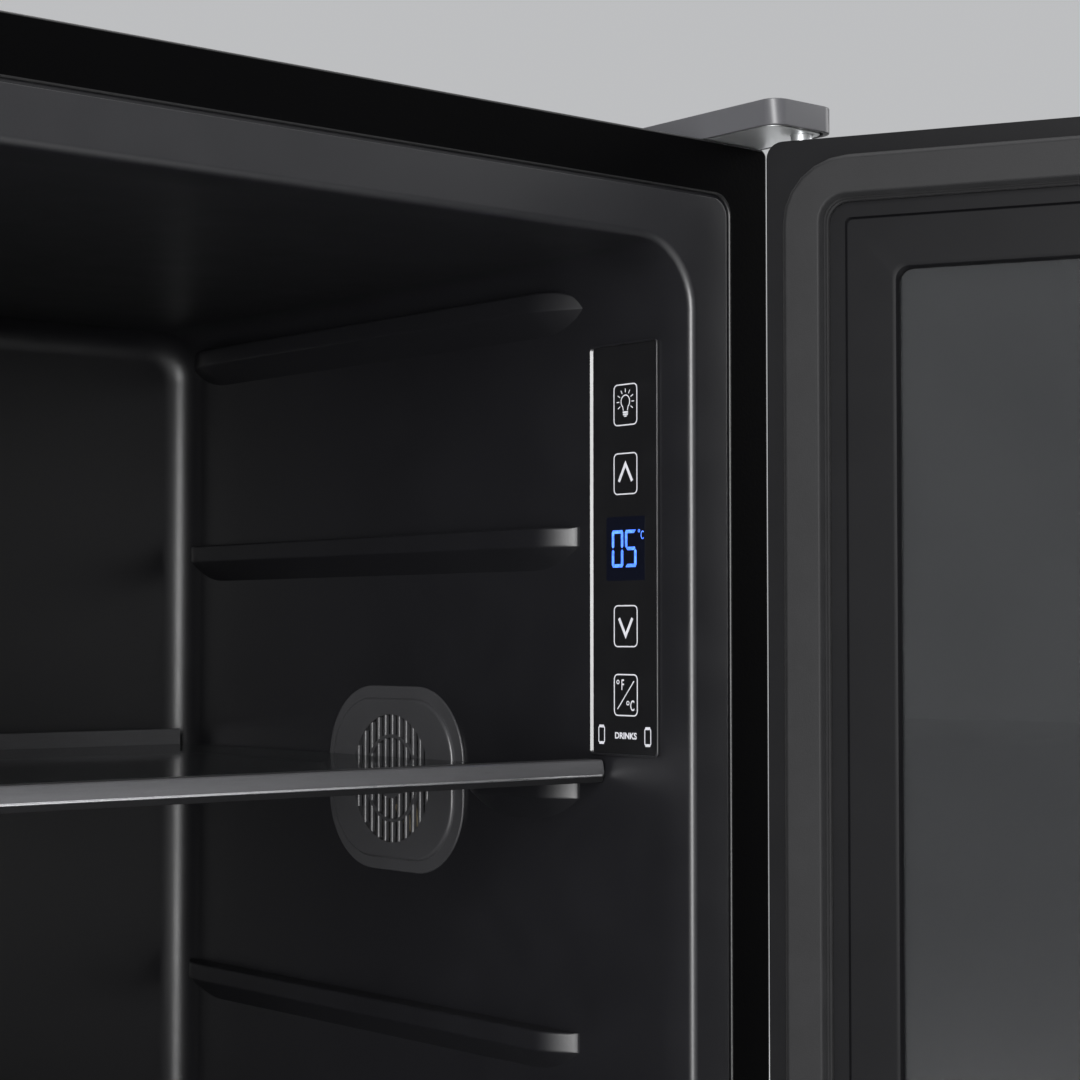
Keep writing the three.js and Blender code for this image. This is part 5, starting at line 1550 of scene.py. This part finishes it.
# ---------------------------------------------------------------- door
@dataclass(frozen=True)
class Door:
    """The glazed door, built as if closed and turned open about its hinge."""

    opened: float = 117.0
    top_space: float = 5.0
    bottom_space: float = 8.0
    inner: float = 8.0
    thickness: float = 34.0
    stile: float = 42.0
    rebate: float = 30.0
    lip: float = 6.0
    glass: float = 4.0
    edge: float = 3.0
    inner_edge: float = 0.5
    corner: float = 6.0
    gasket_seat: float = 15.5
    gasket_half: float = 8.5
    gasket_radius: float = 16.0
    handle_inset: float = 21.0
    handle_gap: float = 28.0
    handle_depth: float = 14.0
    handle_half: float = 6.0
    handle_length: float = 320.0
    handle_rise: float = 120.0
    post_radius: float = 6.0
    post_inset: float = 20.0

    def build(self) -> None:
        """Builds every piece of the door."""
        shell = Span.of("outer_shell")
        joint = next(j for j in frame["joints"] if j["name"] == "door_hinge")
        pin = Vector(joint["pos_m"])
        turn = (Matrix.Translation(pin) @ Matrix.Rotation(math.radians(self.opened), 4, "Z")
                @ Matrix.Translation(-pin))
        ring = Ring(shell.low.x, shell.high.x, shell.low.z + self.bottom_space,
                    shell.high.z - self.top_space, 6)
        back = shell.low.y - self.inner
        front = back - self.thickness
        self.leaf(ring, front, back, turn)
        self.panes(ring, front, back, turn)
        self.gasket(ring, back, shell.low.y, turn)
        self.handle(ring, front, turn)
        dress("glass_spacer", DRAWN_ALUMINIUM, 0.3)
        dress("door_bush_top", NYLON, 0.3)
        dress("door_bush_bottom", NYLON, 0.3)

    def leaf(self, ring: Ring, front: float, back: float, turn: Matrix) -> None:
        """Builds the frame with its rounded outside, window edge and glass rebate."""
        e, s, q = self.edge, self.stile, self.rebate
        i = self.inner_edge
        flat = [(0, back - i)] + [(u, v) for u, v in arc((-e, front + e), e, 0, -90, 6)]
        flat += [(-s + 1.6, front), (-s + 0.7, front + 0.3), (-s + 0.1, front + 1.0),
                 (-s, front + 1.6), (-s, front + self.lip), (-q, front + self.lip)]
        flat += [(-q, back - 0.5), (-q + 0.5, back)]
        flat += [(-i + u, back - i + v) for u, v in arc((0, 0), i, 90, 0, 7)][:-1]
        profile = [(u, v, max(1.0, self.corner + u) if u > -20 else 2.0) for u, v in flat]
        make("door_leaf", ring.sweep(profile, Axis.Y), DOOR_PLASTIC, Body.DOOR.value,
             ["door_frame"], sharp=30, at=turn)

    def pane(self, ring: Ring, depth: float, name: str, node: str, turn: Matrix) -> None:
        """Builds one pane of the double glazing.

        Args:
            ring: The door's outside.
            depth: The pane's front face in Y.
            name: The piece's name.
            node: The CAD node it stands for.
            turn: How the door stands open.
        """
        inset = self.rebate + 0.3
        outline = rectangle(ring.u0 + inset, ring.v0 + inset, ring.u1 - inset, ring.v1 - inset, 2, 3)
        make(name, prism(outline, Axis.Y, depth, depth + self.glass), DOOR_GLASS, Body.DOOR.value,
             [node], bevel=0.5, segments=2, at=turn)

    def panes(self, ring: Ring, front: float, back: float, turn: Matrix) -> None:
        """Builds both panes and the trim that holds them."""
        self.pane(ring, front + self.lip + 0.3, "door_pane_outer", "door_outer_glass", turn)
        self.pane(ring, back - 1.8 - self.glass, "door_pane_inner", "door_inner_glass", turn)
        o, w = self.rebate + 0.3, 19.0
        flat = [(-o, back - 1.5), (-o, back + 0.9)]
        flat += [(-o - 0.6 + u, back + 0.9 + v) for u, v in arc((0, 0), 0.6, 0, 90, 3)]
        flat += [(-o - w + 2.4, back + 1.5), (-o - w + 1.0, back + 1.1), (-o - w + 0.3, back + 0.2),
                 (-o - w, back - 1.0), (-o - w, back - 1.5)]
        profile = [(u, v, 2.0 + 3.0 * (-o - u) / w) for u, v in flat]
        make("door_trim_inner", ring.sweep(profile, Axis.Y), DOOR_PLASTIC, Body.DOOR.value,
             ["door_inner_trim"], sharp=30, at=turn)

    def gasket(self, ring: Ring, back: float, cabinet: float, turn: Matrix) -> None:
        """Builds the magnetic gasket: dart foot, bellows and magnet pocket."""
        h, base, tip = self.gasket_half, back + 0.3, cabinet - 0.5
        rise = tip - base
        section = [(h, 0.0, 0.3), (h, 0.24, 0.5), (h - 1.3, 0.34, 0.3), (h - 0.1, 0.46, 0.5),
                   (h - 1.6, 0.60, 0.3), (h - 0.9, 0.72, 0.4), (h - 2.2, 1.0, 1.3),
                   (-h + 2.2, 1.0, 1.3), (-h + 0.9, 0.72, 0.4), (-h + 1.6, 0.60, 0.3),
                   (-h + 0.1, 0.46, 0.5), (-h + 1.3, 0.34, 0.3), (-h, 0.24, 0.5), (-h, 0.0, 0.3)]
        flat = rounded([(u, base + v * rise, r) for u, v, r in section], 4)
        inset = self.gasket_seat
        profile = [(u - inset, v, self.gasket_radius + u) for u, v in flat]
        make("gasket_bellows", ring.sweep(profile, Axis.Y), GASKET_VINYL, Body.DOOR.value,
             ["door_gasket"], sharp=42, at=turn)

    def handle(self, ring: Ring, front: float, turn: Matrix) -> None:
        """Builds the bar handle and its flared posts."""
        x = ring.u0 + self.handle_inset
        middle = (ring.v0 + ring.v1) / 2 + self.handle_rise
        back = front - self.handle_gap
        low, high = middle - self.handle_length / 2, middle + self.handle_length / 2
        stations = []
        for z, inset in ((low, 1.2), (low + 0.35, 0.35), (low + 1.2, 0.0), (high - 1.2, 0.0),
                         (high - 0.35, 0.35), (high, 1.2)):
            stations.append([Vector((u, v, z)) for u, v in rectangle(
                x - self.handle_half + inset, back - self.handle_depth + inset,
                x + self.handle_half - inset, back - inset, 4.2 - inset, 7)])
        make("handle_grip", loft(stations), HANDLE_METAL, Body.DOOR.value, ["handle_bar"],
             sharp=45, at=turn)
        reach = self.handle_length / 2 - self.post_inset
        r = self.post_radius
        for name, z in (("upper", middle + reach), ("lower", middle - reach)):
            profile = [(0, back + 0.3), (r - 0.9, back + 0.3), (r - 1.1, back + 1.5),
                       (r - 1.3, back + 5), (r - 1.3, front - 6), (r - 0.8, front - 3),
                       (r - 0.1, front - 1.2), (r, front - 0.6), (r, front - 0.3), (0, front - 0.3)]
            make(f"post_{name}", turned(profile, Axis.Y, (x, z), 36), HANDLE_METAL, Body.DOOR.value,
                 [f"handle_post_{name}"], sharp=40, at=turn)


# ---------------------------------------------------------------- hinges and feet
@dataclass(frozen=True)
class Hinges:
    """The top and bottom hinges' fixed pieces."""

    head_radius: float = 4.5
    head_rise: float = 2.4

    def build(self) -> None:
        """Dresses plates and pins, and builds the screws."""
        for end, up in (("top", 1), ("bottom", -1)):
            dress(f"{end}_hinge_plate", ZINC, 0.35, segments=3)
            dress(f"{end}_hinge_pin", BRIGHT_SCREW, 0.6, segments=3)
            for row in ("front", "rear"):
                node = f"{end}_hinge_screw_{row}"
                box = Span.of(node)
                centre = (box.middle.x, box.middle.y)
                seat = box.high.z - self.head_rise if up > 0 else box.low.z + self.head_rise
                tail = box.low.z if up > 0 else box.high.z
                head = screw_head(Axis.Z, centre, seat, up * self.head_rise, self.head_radius)
                shank = self.shank(centre, seat - up * 0.1, tail)
                make(f"{end}_screw_{row}", head.plus(shank), BRIGHT_SCREW, Body.CABINET.value,
                     [node], sharp=28)
        dress("top_hinge_cover", BLACK_PLASTIC, 1.1, segments=4)

    def shank(self, centre: Flat, seat: float, tail: float) -> Form:
        """Returns a threaded shank from its seat to its tail."""
        length = tail - seat
        turns, ridge = 9, 0.28
        profile = [(0.0, seat), (2.2, seat)]
        for k in range(turns):
            profile += [(2.2 - ridge, seat + length * (k + 0.55) / (turns + 1)),
                        (2.2, seat + length * (k + 1) / (turns + 1))]
        profile += [(1.2, tail), (0.0, tail)]
        return turned(profile, Axis.Z, centre, 20)


@dataclass(frozen=True)
class Feet:
    """Two levelling feet in front and two fixed feet behind."""

    pad_height: float = 9.0
    grooves: int = 14

    def build(self) -> None:
        """Builds all four feet."""
        for name, body in (("left", Body.FOOT_LEFT), ("right", Body.FOOT_RIGHT)):
            self.levelling(name, body)
            self.fixed(name)

    def levelling(self, name: str, body: Body) -> None:
        """Builds a levelling foot: gripped pad, hexagon and threaded stem."""
        node = f"levelling_foot_{name}"
        box = Span.of(node)
        x, y, r, h = box.middle.x, box.middle.y, box.size.x / 2 - 0.1, self.pad_height
        stations = []
        levels = [(r - 1.6, 0.0), (r - 0.4, 0.4), (r, 1.6), (r, h - 2.2), (r - 0.5, h - 0.8),
                  (r - 1.8, h), (r - 6, h + 0.1)]
        sides = self.grooves * 6
        for k in range(sides):
            angle = 2 * math.pi * k / sides
            groove = 0.5 * (1 + math.cos(angle * self.grooves)) ** 3 / 8
            stations.append([Vector((0 + x, 0 + y, 0))] + [Vector((
                x + (radius - groove * (1.6 <= z <= h - 2)) * math.cos(angle),
                y + (radius - groove * (1.6 <= z <= h - 2)) * math.sin(angle), z))
                for radius, z in levels] + [Vector((x, y, h + 0.1))])
        pad = loft(stations, closed=True)
        make(f"foot_pad_{name}", pad, FOOT_RUBBER, body.value, [node], sharp=40)
        top = box.high.z
        profile = [(0.0, h)]
        for k in range(int((top - h) / 1.25)):
            profile += [(3.55, h + 1.25 * k), (3.95, h + 1.25 * k + 0.62)]
        profile += [(3.4, top - 0.2), (0.0, top - 0.2)]
        stem = turned(profile, Axis.Z, (x, y), 24)
        make(f"foot_stem_{name}", stem, BRIGHT_SCREW, body.value, sharp=60)

    def fixed(self, name: str) -> None:
        """Builds a fixed rear foot with a soft sole."""
        node = f"rear_foot_{name}"
        box = Span.of(node)
        r, h = box.size.x / 2, box.size.z
        profile = [(0, 0.2), (r * 0.55, 0.2), (r * 0.6, 0), (r - 2.2, 0), (r - 1.2, 0.4),
                   (r - 1.0, 1.2), (r - 0.2, h - 2.6), (r, h - 1.2), (r - 0.2, h - 0.2), (r - 0.6, h),
                   (0, h)]
        make(f"foot_rear_{name}", turned(profile, Axis.Z, (box.middle.x, box.middle.y)),
             FOOT_RUBBER, Body.CABINET.value, [node], sharp=40)


# ---------------------------------------------------------------- cooling circuit
@dataclass(frozen=True)
class Cooling:
    """The compressor and the pieces round it, seen through the rear vents."""

    wall: float = 3.0
    seam: float = 2.2

    def build(self) -> None:
        """Builds the compressor's shells and dresses the rest."""
        self.shells()
        dress("compressor_mount", ZINC, 0.5)
        dress("compressor_pump", ZINC, 0.8)
        dress("start_relay", BLACK_PLASTIC, 1.2, segments=3)
        dress("drip_tray", BLACK_PLASTIC, 0.4)
        dress("condenser_coil", COIL_PAINT, 0.0, 1)
        dress("discharge_tube", COPPER, 0.0, 1)
        dress("suction_tube", COPPER, 0.0, 1)
        dress("evaporator_plate", DRAWN_ALUMINIUM, 0.3)

    def shells(self) -> None:
        """Builds the lower and upper shells with their welded rim."""
        low, high = Span.of("compressor_lower_shell"), Span.of("compressor_upper_shell")
        centre = (low.middle.x, low.middle.y)
        r, w = low.size.x / 2 - 0.3, self.wall
        z0, z1 = low.low.z, low.high.z
        outer = [(0, z0), (r * 0.66, z0)] + [
            (r - 14 + u, z0 + 14 + v) for u, v in arc((0, 0), 14, -80, 0, 8)]
        outer += [(r, z1 - self.seam), (r, z1)]
        inner = [(radius - w if radius > w else 0, max(z, z0 + w)) for radius, z in outer[::-1]]
        inner[0] = (r - w, z1)
        make("compressor_bowl", turned(outer + inner, Axis.Z, centre, 64), COMPRESSOR_PAINT,
             Body.CABINET.value, ["compressor_lower_shell"], sharp=40)
        z2, z3 = high.low.z, high.high.z
        dome = [(r, z2)] + [(r - 1.2, z2 + 1.4), (r - 1.6, z2 + 3)]
        dome += [(r - 1.6 - 24 + u, z3 - 27 + v) for u, v in arc((0, 0), 24, 0, 62, 8)]
        dome += [(r * 0.55, z3 - 1.6), (r * 0.3, z3 - 0.4), (0, z3)]
        under = [(max(radius - w, 0), z - w) for radius, z in dome[::-1]]
        under[-1] = (r - w, z2)
        under[-2] = (r - w - 1.2, z2 + 0.6)
        make("compressor_dome", turned(dome + under, Axis.Z, centre, 64), COMPRESSOR_PAINT,
             Body.CABINET.value, ["compressor_upper_shell"], sharp=40)


# ---------------------------------------------------------------- studio
@dataclass(frozen=True)
class Lamp:
    """One soft rectangular light."""

    name: str
    place: Colour
    aim: Colour
    size: Flat
    power: float

    def build(self, origin: Vector) -> None:
        """Hangs the light; its places are metres from the mouth's lower middle."""
        data = bpy.data.lights.new(self.name, "AREA")
        data.shape, data.size, data.size_y = "RECTANGLE", self.size[0], self.size[1]
        data.energy = self.power
        lamp = bpy.data.objects.new(self.name, data)
        bpy.context.scene.collection.objects.link(lamp)
        lamp.location = origin + Vector(self.place)
        towards = Vector(self.aim) - Vector(self.place)
        lamp.rotation_euler = towards.to_track_quat("-Z", "Y").to_euler()


@dataclass(frozen=True)
class Studio:
    """Camera, floor, world and lights; focal is in the units of frame_side."""

    eye: Colour = (-426.0, -638.0, -184.5)
    yaw: float = 39.9
    pitch: float = 2.28
    sensor: float = 36.0
    focal: float = 2390.0
    frame_side: float = 1080.0
    floor_half: float = 14.0
    world_strength: float = 0.55
    lamps: tuple[Lamp, ...] = (
        Lamp("left_softbox", (-1.55, -1.4, 0.95), (0.15, 0.05, 0.6), (0.8, 1.7), 100),
        Lamp("right_softbox", (2.4, -0.7, 1.4), (0.3, 0.1, 0.45), (1.0, 1.6), 22),
        Lamp("top_softbox", (0.1, -0.3, 2.6), (0.1, 0.1, 0.4), (2.2, 2.2), 42),
        Lamp("rear_softbox", (0.9, 2.3, 1.5), (0.0, 0.4, 0.45), (1.6, 1.6), 26),
    )

    def build(self) -> None:
        """Builds the studio round the fridge."""
        shell = Span.of("outer_shell")
        origin = Vector((shell.middle.x, shell.low.y, 0)) * MM
        self.camera(Vector((shell.middle.x, shell.low.y, shell.high.z)) * MM)
        self.floor()
        world = bpy.data.worlds.new("studio")
        world.use_nodes = True
        background = world.node_tree.nodes["Background"]
        background.inputs["Color"].default_value = (0.93, 0.94, 0.96, 1)
        background.inputs["Strength"].default_value = self.world_strength
        bpy.context.scene.world = world
        bpy.context.scene.view_settings.view_transform = "Standard"
        for lamp in self.lamps:
            lamp.build(origin)

    def camera(self, corner: Vector) -> None:
        """Places the camera from the middle of the mouth's top edge."""
        data = bpy.data.cameras.new("camera")
        data.sensor_width = self.sensor
        data.lens = self.focal / self.frame_side * self.sensor
        data.clip_start, data.clip_end = 0.02, 60
        camera = bpy.data.objects.new("camera", data)
        bpy.context.scene.collection.objects.link(camera)
        camera.location = corner + Vector(self.eye) * MM
        yaw, pitch = math.radians(self.yaw), math.radians(self.pitch)
        look = Vector((math.sin(yaw) * math.cos(pitch), math.cos(yaw) * math.cos(pitch),
                       math.sin(pitch)))
        camera.rotation_euler = look.to_track_quat("-Z", "Y").to_euler()
        bpy.context.scene.camera = camera

    def floor(self) -> None:
        """Lays the pale floor under the feet."""
        half = self.floor_half / MM
        form = prism(rectangle(-half, -half, half, half, half / 4, 12), Axis.Z, -20, -0.5)
        thing = bpy.data.objects.new("floor", form.mesh("floor"))
        thing.data.materials.append(FLOOR_PAPER.material())
        bpy.context.scene.collection.objects.link(thing)


def main() -> None:
    """Builds the studio and every sub-assembly, in order."""
    logging.basicConfig(level=logging.INFO, format="%(name)s: %(message)s")
    Studio().build()
    assemblies = [Cabinet(), Liner(), Controls(), FanCover(), Shelf("upper"), Shelf("middle"),
                  Shelf("lower"), Door(), Hinges(), Feet(), Cooling()]
    for assembly in assemblies:
        log.info("building %s", type(assembly).__name__)
        assembly.build()


if __name__ == "__main__":
    main()
